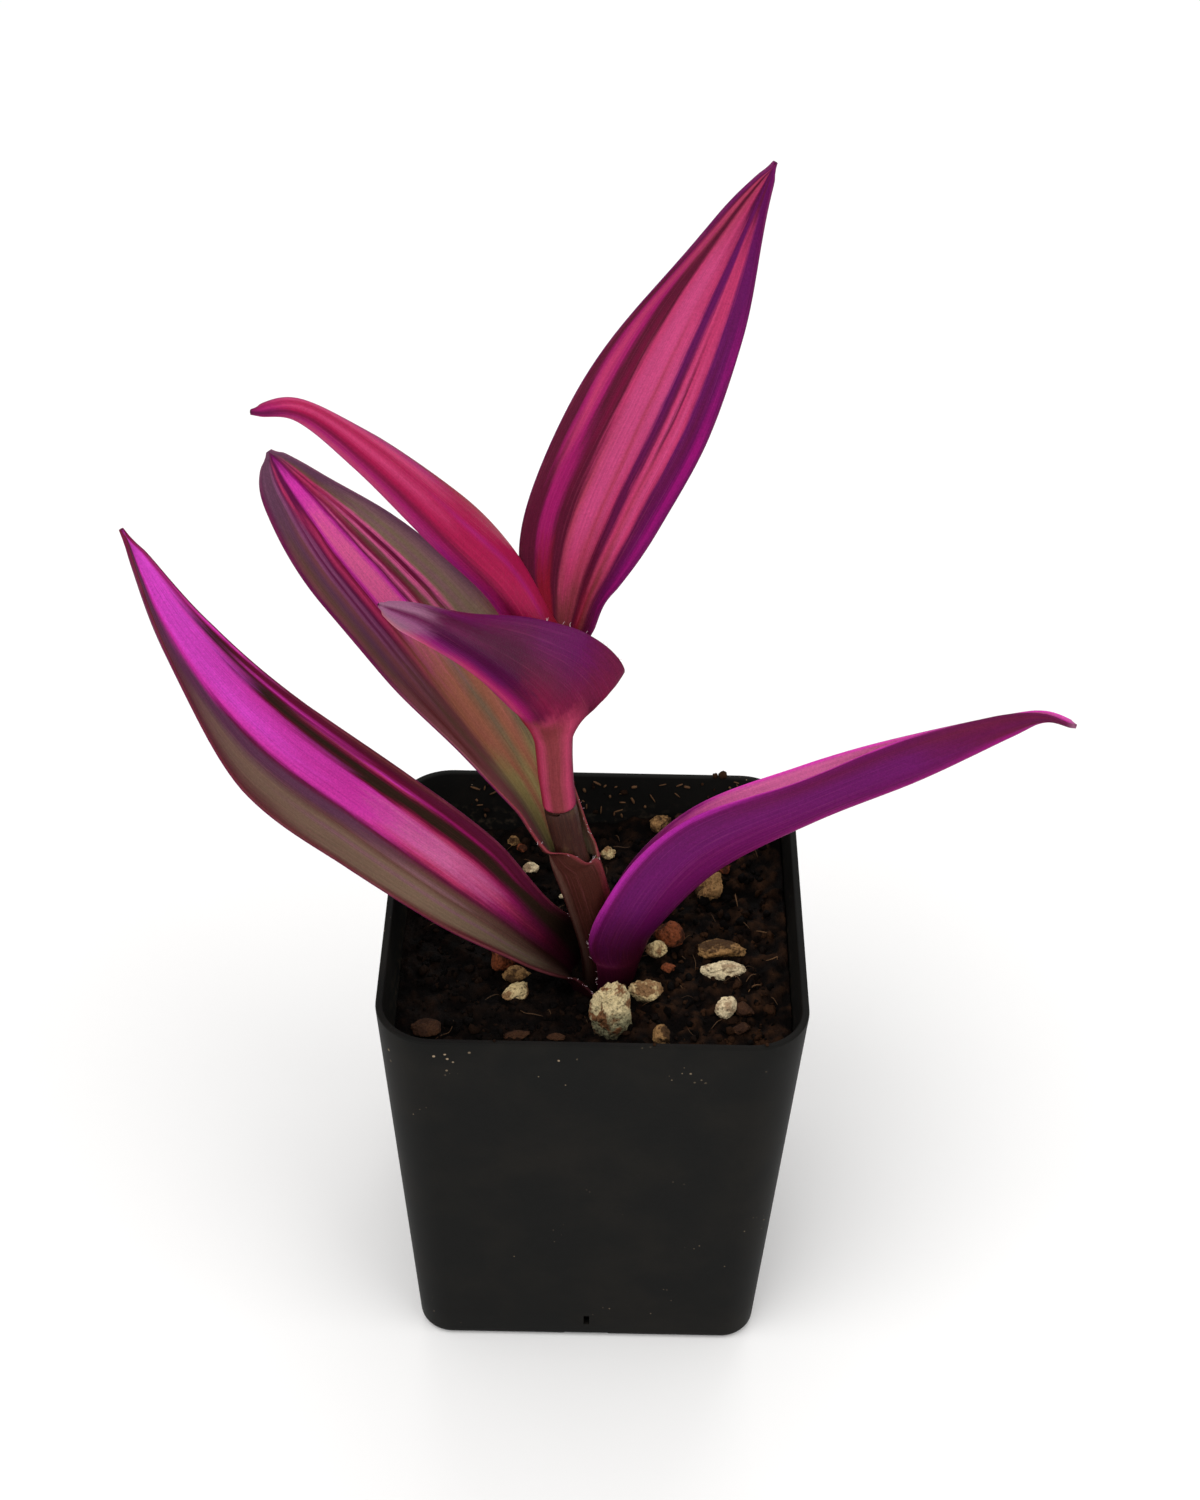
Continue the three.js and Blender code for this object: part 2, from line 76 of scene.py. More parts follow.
# Larger pieces on the soil: x, y, length, width, height, turn in degrees, kind.
CHUNKS = [
    (2.8, -17, 6.6, 6, 11, 20, "pumice"),
    (8.1, -9.4, 5.4, 3.6, 3.7, -15, "cream"),
    (9.7, -1, 3.3, 2.7, 2.8, 20, "cream"),
    (11.7, 1.6, 5, 3.8, 3.9, -30, "rust"),
    (19.8, -2.8, 7.6, 3.2, 3.2, 3, "tan"),
    (20, -6.5, 7.4, 3.2, 3.2, 0, "perlite"),
    (20.1, -15.2, 3.8, 3.4, 3.6, 30, "perlite"),
    (22.8, -15.4, 2.8, 3.2, 2, 40, "bark"),
    (22.2, -19.2, 3.2, 2, 1.5, 15, "bark"),
    (-13.9, -2.7, 5.2, 4, 4.2, 60, "rust"),
    (-11.7, -6, 4.5, 3, 3.1, 10, "tan"),
    (-11.8, -9.7, 4.8, 3, 3, 35, "cream"),
    (10.5, 27.6, 3.8, 3, 3.6, 25, "tan"),
    (2, 20.9, 2.8, 2.3, 2.4, 40, "cream"),
    (18.3, 11.6, 5.8, 4.3, 4.2, 50, "tan"),
    (20.5, 16.7, 2.5, 2.1, 2, 20, "rust"),
    (-25, -17.2, 4.6, 3.8, 1.6, 0, "bark"),
    (-11.4, -18.9, 4.4, 1.6, 1.4, 5, "bark"),
    (10.4, -19.9, 2.9, 2.8, 3.3, 70, "tan"),
    (22, 25, 3, 2.2, 1.8, -20, "bark"),
    (-13.4, 26.4, 2.1, 1.8, 1.9, 0, "tan"),
    (-10.4, 19.4, 2.7, 2.1, 2.1, 10, "perlite"),
    (14, 28.2, 2.6, 1.8, 2.2, -25, "bark"),
    (-12, 24.4, 1.9, 1.6, 1.6, 50, "rust"),
    (-5.2, 12.3, 1, 0.9, 0.8, 0, "perlite"),
    (-5.4, -19.4, 2.9, 1.4, 1.2, -5, "bark"),
    (11.6, -4.2, 2.4, 1.8, 1.5, -20, "rust"),
    (4.4, -7, 1.8, 1.6, 1.6, 30, "bark"),
    (-22, 10, 2.4, 1.8, 1.4, 45, "bark"),
]

# Single fibres on the soil: x, y, heading in degrees, length.
STICKS = [(22.5, 7.5, 105, 3.6), (25.2, 1.5, -10, 3.2), (26.5, -4.5, 2, 5.2), (18, 24, 40, 3), (23.6, -11, 60, 3)]

# Crumbs caught on the rim: x, y, size.
RIM_CRUMBS = [(20.4, 30.9, 1.7), (19.2, 31, 1), (-14, -31.1, 0.6), (9, -31.2, 0.5), (25.2, -30.8, 0.6)]

# Kinds of grain: depth of the pits, share of stain, and colour of the stain.
GRAINS = {
    "pumice": (0.16, 0.9, (118, 66, 32)),
    "cream": (0.14, 0.8, (118, 66, 32)),
    "perlite": (0.12, 0.6, (118, 66, 32)),
    "tan": (0.14, 0.85, (48, 28, 18)),
    "rust": (0.07, 0.85, (48, 28, 18)),
    "bark": (0.07, 0.7, (48, 28, 18)),
}

# Axis and radius of the stem: x, y, z, radius.
STEM = np.array(
    [
        (1.8, -3, 51.4, 2.5),
        (1.8, -3, 60, 2.5),
        (0.6, -3, 67, 2.5),
        (-1.9, -3, 76, 2.35),
        (-4, -3, 84, 2.3),
        (-5.3, -3, 90.5, 2.4),
        (-5.4, -3, 91.2, 1.6),
        (-6.1, -2.9, 98, 1.5),
        (-6.4, -2.6, 104, 1),
        (-6.6, -2.4, 108.6, 0.8),
    ]
)

# Each sheath row is a height on the stem, the sheath's radius and how far it closes (degrees each way from
# the keel, 180 for a closed tube). Each blade row is x, y, z of the keel, the direction the upper face looks
# in, the half widths left and right, how far the left and the right half curl up in degrees, and how
# sharply the blade is folded at the keel.
LEAVES = {
    "leaf_low_left": {
        "face": (1, 0),
        "closed_to": 0,
        "sheath": [(53, 5.2, 82), (57, 5.3, 74)],
        "blade": [
            (-5.6, -3.4, 60.8, 0.8, -0.2, 0.45, 7.4, 6.6, 70, 66, 0.15),
            (-11.1, -4, 67, 0.6, -0.6, 0.5, 9.6, 7.4, 78, 72, 0.3),
            (-21.6, -2, 75, 0.4, -0.7, 0.6, 10.6, 12, 62, 78, 0.42),
            (-35.2, -1, 86.6, 0.35, -0.7, 0.6, 12, 12.7, 62, 78, 0.45),
            (-49.8, -1, 101.4, 0.35, -0.7, 0.6, 12.4, 11.2, 68, 72, 0.45),
            (-60, -1, 118.8, 0.4, -0.7, 0.6, 6.3, 6.6, 75, 75, 0.45),
            (-66, 0, 136, 0.5, -0.6, 0.6, 0.5, 0.5, 80, 80, 0.3),
        ],
        "wave": (0.3, 3),
    },
    "leaf_low_right": {
        "face": (-1, 0.1),
        "closed_to": 0,
        "sheath": [(53, 4.25, 100), (57.5, 4.3, 100)],
        "blade": [
            (7.2, -3.6, 63, -0.85, 0.08, 0.5, 8, 9, 92, 94, 0.1),
            (9.6, -5, 70.1, -0.75, 0.3, 0.65, 10.4, 10.8, 96, 98, 0.3),
            (18.4, -3.8, 80.5, -0.5, 0.5, 0.8, 10.8, 9.5, 98, 122, 0.45),
            (32.4, -3, 89.6, -0.4, 0.5, 0.8, 8.8, 6.9, 104, 124, 0.45),
            (46.8, -3, 97.6, -0.4, 0.5, 0.8, 6.9, 7, 118, 122, 0.45),
            (59, -3, 105.7, -0.4, 0.5, 0.8, 3.4, 3.6, 115, 115, 0.45),
            (63.8, -3, 108.6, -0.2, 0.1, 0.95, 1.4, 1.6, 90, 100, 0.4),
            (68.5, -3, 107.6, -0.2, -0.4, 0.9, 0.5, 0.5, 60, 60, 0.3),
        ],
        "wave": (0.3, 2),
    },
    "leaf_mid_left": {
        "face": (1, -0.15),
        "closed_to": 79.5,
        "sheath": [(53, 3.2, 180), (62, 3.2, 180), (71.5, 3.2, 180), (79.5, 3.3, 180)],
        "blade": [
            (-6.8, -1.3, 82.6, 0.8, -0.6, 0.15, 5.2, 7.8, 78, 124, 0),
            (-11, 2, 90.6, 0.7, -0.7, 0.2, 8.9, 9.4, 76, 96, 0.3),
            (-18.5, 5, 101, 0.6, -0.6, 0.5, 13, 12.6, 62, 60, 0.45),
            (-27.5, 7, 114.5, 0.55, -0.6, 0.6, 14.6, 11.8, 50, 50, 0.45),
            (-36.6, 7.5, 128, 0.5, -0.65, 0.55, 12.4, 9.2, 50, 50, 0.45),
            (-43, 9, 137.5, 0.4, -0.8, 0.4, 7, 4.6, 50, 50, 0.4),
            (-46.6, 11, 142.3, 0.2, -1, 0.1, 1, 1, 40, 40, 0.3),
        ],
        "wave": (0.35, 2.5),
    },
    "leaf_front": {
        "face": (0, 1),
        "closed_to": 103.2,
        "sheath": [(91.6, 2.15, 180), (97, 2.25, 180), (103.2, 2.5, 180)],
        "blade": [
            (-7, -5.8, 107, -0.2, 0.93, 0.25, 13.8, 8, 46, 120, 0.15),
            (-7.9, -9.5, 113, -0.5, 0.8, 0.22, 13.3, 9, 44, 108, 0.35),
            (-11.2, -15.5, 122.6, -0.62, 0.73, 0.22, 9.4, 9.4, 52, 100, 0.45),
            (-16.2, -24, 134, -0.68, 0.7, 0.15, 5.2, 8, 70, 95, 0.45),
            (-21.6, -32, 143.8, -0.75, 0.6, 0, 3.2, 4.6, 80, 90, 0.45),
            (-27, -38, 150.6, -0.8, 0.55, -0.1, 0.5, 0.5, 80, 80, 0.3),
        ],
        "wave": (0.4, 2),
    },
    "leaf_upper_left": {
        "face": (0.4, 0.9),
        "closed_to": 108,
        "sheath": [(105.4, 1.6, 180), (108, 1.6, 180)],
        "blade": [
            (-7.2, -4.8, 113, 0.25, 0.95, 0, 6.6, 5.4, 104, 112, 0.1),
            (-9.4, -6, 121, 0, 1, 0, 8.8, 7.2, 108, 118, 0.35),
            (-13.2, -9.4, 132, -0.2, 1, 0.05, 9.7, 8, 100, 112, 0.45),
            (-20, -15, 144.5, -0.25, 0.95, 0.05, 8.5, 8.2, 93, 105, 0.45),
            (-29, -19, 158.2, -0.3, 0.95, 0.05, 6, 6.6, 100, 104, 0.45),
            (-37, -22, 167.6, -0.3, 0.95, -0.1, 3.2, 3.8, 104, 104, 0.45),
            (-43, -25, 169.8, -0.4, 0.9, -0.15, 0.5, 0.5, 90, 90, 0.3),
        ],
        "wave": (0.3, 2),
    },
    "leaf_top": {
        "face": (0.1, -1),
        "closed_to": 0,
        "sheath": [],
        "blade": [
            (-6.4, -1.7, 110.4, 0.1, -1, 0, 1.4, 1.4, 95, 95, 0),
            (-5.8, 0.7, 114.6, 0.1, -1, 0.1, 2, 2, 50, 50, 0.1),
            (-5, 3.6, 119.6, 0.05, -1, 0.1, 5.3, 4.7, 60, 60, 0.2),
            (-3.8, 6.6, 126.4, 0.1, -1, 0.1, 9.6, 7.5, 50, 55, 0.35),
            (-0.4, 7.7, 137.6, 0.2, -0.95, 0.05, 13.7, 9.3, 40, 42, 0.42),
            (5, 7.5, 152, 0.3, -0.95, 0.1, 13.2, 10.1, 34, 34, 0.42),
            (11, 7.5, 167, 0.3, -0.95, 0.15, 10.7, 7.9, 36, 36, 0.42),
            (17, 7, 180.5, 0.25, -0.95, 0.2, 5.3, 3.7, 50, 50, 0.4),
            (21.1, 6.5, 189.1, 0.1, -0.95, 0.25, 0.5, 0.5, 60, 60, 0.3),
        ],
        "wave": (0.45, 3.5),
    },
}

# The stripes run across each face from the left margin (0) to the right (100), and a tone with two places
# is even between them. Each face has runs of stripes that follow one another from foot to tip, each led by
# the share of the blade where it takes over. "point" tints the last bit of the tip.
STRIPES = {
    "leaf_low_left": {
        "point": ("maroon", 0.95),
        "upper": """
            0: husk 0, wine 5, bark_brown 12-30, husk 44, garnet 52-66, night 76-100;
            0.1: wine 0, bark_brown 8, olive 14-26, bark_brown 36, husk 45, plum 51, maroon 58, plum 68,
                night 76-88, garnet 100;
            0.19: wine 0-4, olive 10-22, dusk 25, olive 29, bark_brown 34-42, plum 48, cerise 54, rose 61,
                cerise 69, plum 74, night 78-86, garnet 90, plum 94, garnet 100;
            0.3: wine 0, olive 8-22, dusk 25, olive 29, bark_brown 34, dusk 37, bark_brown 41, plum 47, rose 51,
                petal 56-67, rose 71, maroon 73.5, night 76-83, garnet 85, cerise 87.5, garnet 90, plum 95,
                garnet 100;
            0.44: wine 0, olive 7-23, dusk 26, olive 30, bark_brown 35, smoke 40-44, plum 46.5, magenta 50-70,
                maroon 72, night 74-81, maroon 83, rose 85, magenta 86.5, maroon 89, garnet 94, wine 100;
            0.62: wine 0, bark_brown 10, olive 20-30, smoke 38-43, plum 45.5, magenta 48.5, orchid 56, magenta 74,
                maroon 76, night 78.5-85.5, maroon 87.5, magenta 90, maroon 93, garnet 100;
            0.76: wine 0-8, bark_brown 16, smoke 33-41, magenta 46, orchid 52-79, magenta 83, night 87-94,
                maroon 97, magenta 100;
            0.88: wine 0, smoke 14-34, magenta 42, orchid 50-88, magenta 93, maroon 100
        """,
        "lower": """
            0: wine 0, plum 30, wine 50, plum 75, wine 100;
            0.2: plum 0, purple 15, plum 46, wine 50, plum 54, violet 88, plum 100
        """,
    },
    "leaf_low_right": {
        "point": ("lilac", 0.94),
        "upper": """
            0: violet 0, magenta 8, pink 16, petal 40, maroon 50, pink 60, rose 100;
            0.3: magenta 0, petal 3-12, pink 30, petal 42, magenta 47, maroon 50, petal 55, pink 80, petal 92,
                blush 97-100;
            0.62: magenta 0, petal 4, magenta 20, maroon 50, magenta 60, plum 100
        """,
        "lower": """
            0: plum 0, garnet 30-70, plum 90-100;
            0.09: magenta 0, violet 4-30, purple 50, violet 56-68, heather 76-90, violet 95, fuchsia 97.5-100;
            0.36: violet 0-20, violet 46, byzantine 51, violet 58, heather 68-80, purple 90, violet 98,
                magenta 100;
            0.62: violet 0, purple 30, byzantine 47-55, plum 63, purple 75, plum 90, purple 100
        """,
    },
    "leaf_mid_left": {
        "point": ("smoke", 0.97),
        "upper": """
            0: clay 0, sepia 8-26, olive 35, moss 43-50, tawny 54, moss 60, tawny 66, moss 72, olive 88,
                earth 100;
            0.25: sepia 0-10, wine 16, sepia 24, bark_brown 30, sepia 38, tawny 44, umber 49, tawny 54, olive 60,
                tawny 64, umber 68, olive 73-92, earth 100;
            0.47: purple 0, sepia 4, bark_brown 10, smoke 18, sepia 24, mauve 27, purple 30, mauve 32.5,
                purple 36, rose 40, maroon 43, magenta 45.5, pink 48-58, magenta 61, plum 63, pink 65, maroon 67,
                bark_brown 71, pink 73.5, maroon 75.5, plum 77.5, pink 79.5, olive 82, dusk 86, olive 89, dusk 93,
                smoke 100;
            0.76: purple 0, smoke 8-24, mauve 28, purple 32, rose 35, purple 39-43, magenta 47-58, byzantine 61,
                maroon 66, rose 71, maroon 74, rose 77, bark_brown 82, smoke 90-100;
            0.93: smoke 0-25, purple 40, violet 50, purple 62, smoke 75-100
        """,
        "lower": """
            0: clay 0, husk 8-30, bark_brown 36, husk 40, wine 50, husk 70-92, clay 100;
            0.16: purple 0, plum 30, wine 48-52, plum 70, purple 100
        """,
    },
    "leaf_front": {
        "point": ("lilac", 0.96),
        "upper": """
            0: clay 0, rose 30, ruby 50, rose 70, clay 100;
            0.24: purple 0, maroon 10, pink 20, petal 40, maroon 46-55, pink 60, petal 85, magenta 100;
            0.8: purple 0, magenta 30, maroon 50, magenta 70, purple 100
        """,
        # The dark line at about 50 across, at the keel, is painted shade in the fold.
        "lower": """
            0: plum 0, maroon 16, garnet 26, rosewood 38, clay 46-54, rosewood 60, ruby 70, clay 84-100;
            0.07: plum 0-20, maroon 38, rosewood 50, clay 58, cerise 68, ruby 76, maroon 86, plum 100;
            0.15: violet 0-14, plum 34, maroon 46, plum 54, cerise 62, rose 70, cerise 79, purple 90, violet 100;
            0.38: violet 0, purple 12, mulberry 26-42, indigo 49-53, violet 58, cerise 65, rose 72, cerise 82,
                magenta 92, rose 100;
            0.6: plum 0, violet 12, mulberry 26, purple 42, indigo 50-55, violet 60, byzantine 70, rose 84,
                petal 100;
            0.8: mauve 0, lilac 40, purple 50, mauve 58, lilac 80, blush 100
        """,
    },
    "leaf_upper_left": {
        "point": ("purple", 0.96),
        "upper": """
            0: ruby 0, rose 40, ruby 50-100;
            0.26: maroon 0, pink 20, rose 42, maroon 48, pink 56, rose 85, maroon 100
        """,
        "lower": """
            0: ruby 0-20, crimson 46, ruby 50, crimson 60, ruby 100;
            0.2: ruby 0, crimson 10-24, cerise 29, crimson 33-45, maroon 49, cerise 53, byzantine 59, cerise 68,
                rose 80, cerise 90, maroon 100;
            0.55: maroon 0, cerise 8, rose 18, crimson 28, rose 38, crimson 45, maroon 49, cerise 53, rose 62,
                byzantine 74, rose 88, maroon 100;
            0.9: maroon 0, cerise 40, purple 50, cerise 70, maroon 100
        """,
    },
    "leaf_top": {
        "point": ("violet", 0.95),
        "upper": """
            0: garnet 0-12, ruby 16-28, garnet 32, clay 40-58, garnet 63, ruby 72, clay 78, garnet 86, purple 100;
            0.3: garnet 0-13, ruby 17-27, garnet 31-36, rosewood 39, rose 45, rosewood 52-58, garnet 62-67,
                rosewood 71, clay 75, rosewood 79, purple 84, violet 92, byzantine 96, violet 100;
            0.42: garnet 0-11, cerise 14-23, garnet 28-36, rosewood 39, cyclamen 44-50, rosewood 54, cyclamen 57,
                rose 60.5, purple 63-68, rose 71, rosewood 74, cyclamen 78, rose 81, purple 84, violet 91,
                byzantine 94.5, violet 100;
            0.57: garnet 0-6, cerise 8.5, rose 13, cerise 19, garnet 22-25, maroon 29, garnet 32, rose 35.5,
                cyclamen 40-50, rosewood 53, cyclamen 56-60, heather 62.5, purple 67, rose 69.5, cyclamen 72,
                plum 73.5, rose 75, cyclamen 79, rose 81.5, heather 84, purple 88, violet 92, byzantine 94.5-98,
                violet 100;
            0.71: garnet 0-3, cerise 6, rose 11, cerise 18, garnet 21.5-32, rose 35, cyclamen 41-50, rose 60,
                heather 62.5-68, rose 70.5-80, heather 84-93, violet 100;
            0.84: violet 0, plum 8, rosewood 14-22, garnet 27-32, rosewood 37, rose 50, purple 57, heather 68,
                plum 75, heather 82, violet 100
        """,
        "lower": """
            0: purple 0, plum 30, ruby 50, plum 70, purple 100;
            0.3: violet 0, purple 10, violet 30, plum 45, crimson 50, plum 55, violet 80, purple 90, violet 100
        """,
    },
}



def rgb(*screen):
    """Linear colour of a colour given as it looks on a screen, 0 to 255."""
    shares = (value / 255 for value in screen)
    return tuple(c / 12.92 if c <= 0.04045 else ((c + 0.055) / 1.055) ** 2.4 for c in shares)


# ---------------------------------------------------------------- settings


def length(name, default, description):
    """Setting for a length in metres."""
    return FloatProperty(
        name=name, description=description, default=default, min=0, unit="LENGTH", subtype="DISTANCE"
    )


def tint(name, default, description):
    """Setting for a colour, with its default as it looks on a screen."""
    return FloatVectorProperty(
        name=name, description=description, default=rgb(*default), min=0, max=1, subtype="COLOR"
    )


def amount(name, default, limit, description):
    """Setting for how many there are of something small."""
    return IntProperty(name=name, description=description, default=default, min=0, max=limit)


class PotSettings(bpy.types.PropertyGroup):
    height: length("Height", 70 * MM, "Height of the pot")
    top_width: length("Rim Width", 63.5 * MM, "Outside width at the rim")
    base_width: length("Foot Width", 53.5 * MM, "Outside width at the foot")
    wall: length("Wall", 1.1 * MM, "Thickness of the wall")
    plastic: tint("Plastic", (21, 21, 20), "Colour of the plastic")
    dust: tint("Dust", (128, 112, 92), "Colour of the dust and dried soil on it")


class SoilSettings(bpy.types.PropertyGroup):
    level: length("Level", 60.8 * MM, "Mean height of the surface")
    crumbs: amount("Crumbs", 1500, 5000, "Number of loose crumbs")
    fibres: amount("Fibres", 70, 1000, "Number of coir fibres")
    peat: tint("Wet Peat", (9, 6, 5), "Colour of the wet peat")
    dry: tint("Dry Peat", (54, 34, 21), "Colour of the drier crumbs")
    fibre: tint("Fibre", (104, 74, 48), "Colour of the fibres")


class StoneSettings(bpy.types.PropertyGroup):
    pumice: tint("Pumice", (226, 206, 158), "Colour of the big stone")
    cream: tint("Cream", (232, 206, 152), "Colour of the cream grains")
    perlite: tint("Perlite", (240, 220, 178), "Colour of the white grains")
    tan: tint("Tan", (166, 126, 80), "Colour of the tan grains")
    rust: tint("Rust", (140, 74, 44), "Colour of the reddish grains")
    bark: tint("Bark", (70, 44, 27), "Colour of the bark chips")


class StemSettings(bpy.types.PropertyGroup):
    skin: tint("Skin", (64, 34, 26), "Colour of the bare stem")
    lines: tint("Lines", (42, 20, 16), "Colour of the fine lines along it")


class LeafSettings(bpy.types.PropertyGroup):
    thickness: length("Thickness", 0.7 * MM, "Thickness of a blade at its keel")
    hairs: amount("Hairs", 26, 500, "Number of hairs on each leaf's lower margins")
    pink: tint("Pink", (226, 100, 158), "Palest stripes")
    petal: tint("Petal", (216, 108, 164), "Middle of the broad stripes")
    cyclamen: tint("Cyclamen", (196, 72, 124), "Pale stripes of the top leaf")
    rosewood: tint("Rosewood", (176, 62, 94), "Lower part of the top leaf")
    garnet: tint("Garnet", (88, 20, 46), "Dark stripes of the top leaf")
    fuchsia: tint("Fuchsia", (164, 36, 146), "Bright lines beside the margins")
    husk: tint("Husk", (66, 32, 26), "Outside of the closed sheath")
    sepia: tint("Sepia", (124, 72, 78), "Left half near the mouth of the sheath")
    tawny: tint("Tawny", (172, 110, 86), "Brown veins above the mouth of the sheath")
    rose: tint("Rose", (190, 58, 106), "Edges of the pale stripes")
    cerise: tint("Cerise", (156, 26, 98), "Strong pink of young leaves")
    magenta: tint("Magenta", (212, 58, 170), "Broad bright stripes")
    orchid: tint("Orchid", (234, 80, 216), "Upper end of the broadest stripe")
    byzantine: tint("Byzantine", (144, 18, 108), "Right margin of the top leaf")
    violet: tint("Violet", (98, 16, 80), "Outer faces and margins")
    heather: tint("Heather", (98, 22, 88), "Bluish patches on the outer faces")
    # Dark line at the folds of the keels: painted shade in the crease.
    indigo: tint("Indigo", (72, 8, 54), "Folds at the keels")
    purple: tint("Purple", (94, 20, 66), "Dark purple areas")
    mulberry: tint("Mulberry", (76, 14, 50), "Underside of the front leaf")
    plum: tint("Plum", (98, 24, 58), "Reddish purple areas")
    maroon: tint("Maroon", (114, 18, 56), "Dark red stripes")
    wine: tint("Wine", (96, 42, 46), "Dull red margins")
    crimson: tint("Crimson", (158, 22, 70), "Outer face of young leaves")
    ruby: tint("Ruby", (136, 22, 44), "Foot of the young leaves")
    clay: tint("Clay", (126, 52, 58), "Neck of the front leaf")
    night: tint("Night", (50, 34, 26), "Nearly black stripes")
    olive: tint("Olive", (128, 110, 88), "Green of the old leaves, seen through purple")
    dusk: tint("Dusk", (134, 100, 104), "Fine pale lines in the olive")
    bark_brown: tint("Olive Brown", (104, 74, 64), "Edge of the olive beside the keel")
    umber: tint("Umber", (174, 108, 90), "Brown lines near the foot of a blade")
    smoke: tint("Smoke", (98, 62, 84), "Grey purple")
    mauve: tint("Mauve", (146, 82, 124), "Fine lines in the grey purple")
    lilac: tint("Lilac", (150, 100, 128), "Pale tips")
    moss: tint("Moss", (164, 150, 98), "Green at the foot of the blade")
    earth: tint("Earth", (116, 72, 62), "Brown pink of the sheaths")
    blush: tint("Blush", (182, 96, 112), "Pale foot of the top leaf and pale margins")


class StageSettings(bpy.types.PropertyGroup):
    floor: tint("Floor", (252, 251, 250), "Colour of the floor")
    light: FloatProperty(name="Light", description="Strength of the studio light", default=1.0, min=0)


# ---------------------------------------------------------------- materials


class Value:
    """One value of a shader, so that maths on it reads as an expression."""

    def __init__(self, shader, socket):
        self.shader = shader
        self.socket = socket

    def __add__(self, other):
        return self.shader.maths("ADD", self, other)

    def __sub__(self, other):
        return self.shader.maths("SUBTRACT", self, other)

    def __rsub__(self, other):
        return self.shader.maths("SUBTRACT", other, self)

    def __mul__(self, other):
        return self.shader.maths("MULTIPLY", self, other)

    def __abs__(self):
        return self.shader.maths("ABSOLUTE", self)

    __radd__ = __add__
    __rmul__ = __mul__

    def rise(self, low, high):
        """0 below low and 1 above high, smooth in between. It falls where low is above high."""
        if low > high:
            return 1 - self.rise(high, low)
        inputs = {"Value": self, "From Min": low, "From Max": high}
        return self.shader.node("ShaderNodeMapRange", {"interpolation_type": "SMOOTHSTEP"}, inputs)


class Shader:
    """A material with one surface shader. Uniform finishes are set on its own sockets."""

    def __init__(self, name, **finish):
        self.material = bpy.data.materials.new(name)
        self.material.use_nodes = True
        self.tree = self.material.node_tree
        self.tree.nodes.clear()
        self.surface = self.tree.nodes.new("ShaderNodeBsdfPrincipled")
        output = self.tree.nodes.new("ShaderNodeOutputMaterial")
        self.tree.links.new(self.surface.outputs[0], output.inputs[0])
        for socket, value in finish.items():
            self.feed(self.surface.inputs[socket.replace("_", " ").title().replace("Ior", "IOR")], value)

    def feed(self, socket, value):
        if isinstance(value, Value):
            self.tree.links.new(value.socket, socket)
        elif socket.type == "RGBA" and len(value) == 3:
            socket.default_value = (*value, 1)
        else:
            socket.default_value = value

    def node(self, kind, settings=None, inputs=None, output=0):
        """Adds a node: its settings first, then the values or links of its sockets."""
        node = self.tree.nodes.new(kind)
        for setting, value in (settings or {}).items():
            if setting == "stops":
                self.fill_ramp(node.color_ramp, value)
            else:
                setattr(node, setting, value)
        for socket, value in (inputs or {}).items():
            self.feed(node.inputs[socket], value)
        return Value(self, node.outputs[output])

    @staticmethod
    def fill_ramp(ramp, stops):
        while len(ramp.elements) < len(stops):
            ramp.elements.new(1)
        for element, (place, colour) in zip(ramp.elements, stops):
            element.position = place
            element.color = (*colour, 1)

    def maths(self, operation, *values):
        return self.node("ShaderNodeMath", {"operation": operation}, dict(enumerate(values)))

    def mix(self, share, first, second, blend="MIX"):
        settings = {"data_type": "RGBA", "blend_type": blend}
        return self.node("ShaderNodeMix", settings, {0: share, 6: first, 7: second}, output=2)

    def shade(self, colour, brightness):
        """The colour made lighter or darker by a value that varies about 1."""
        return self.node("ShaderNodeVectorMath", {"operation": "SCALE"}, {0: colour, "Scale": brightness})

    def place(self):
        return self.node("ShaderNodeTexCoord", output="Object")

    def attribute(self, name):
        return self.node("ShaderNodeAttribute", {"attribute_name": name}, output="Fac")

    def vector(self, x, y, z=0.0):
        return self.node("ShaderNodeCombineXYZ", None, {0: x, 1: y, 2: z})

    def part(self, vector, axis):
        return self.node("ShaderNodeSeparateXYZ", None, {0: vector}, output=axis)

    def noise(self, vector, scale, detail=3.0, roughness=0.55):
        inputs = {"Vector": vector, "Scale": scale, "Detail": detail, "Roughness": roughness}
        return self.node("ShaderNodeTexNoise", None, inputs)

    def cells(self, vector, scale):
        return self.node("ShaderNodeTexVoronoi", None, {"Vector": vector, "Scale": scale})

    def ramp(self, value, stops):
        return self.node("ShaderNodeValToRGB", {"stops": stops}, {0: value})

    def relief(self, height, distance, strength=1.0):
        """Small relief of the surface: distance is its depth in metres."""
        normal = self.node("ShaderNodeBump", None, {"Strength": strength, "Distance": distance, "Height": height})
        self.feed(self.surface.inputs["Normal"], normal)

    def paint(self, colour, roughness=None):
        self.feed(self.surface.inputs["Base Color"], colour)
        if roughness is not None:
            self.feed(self.surface.inputs["Roughness"], roughness)
        return self.material


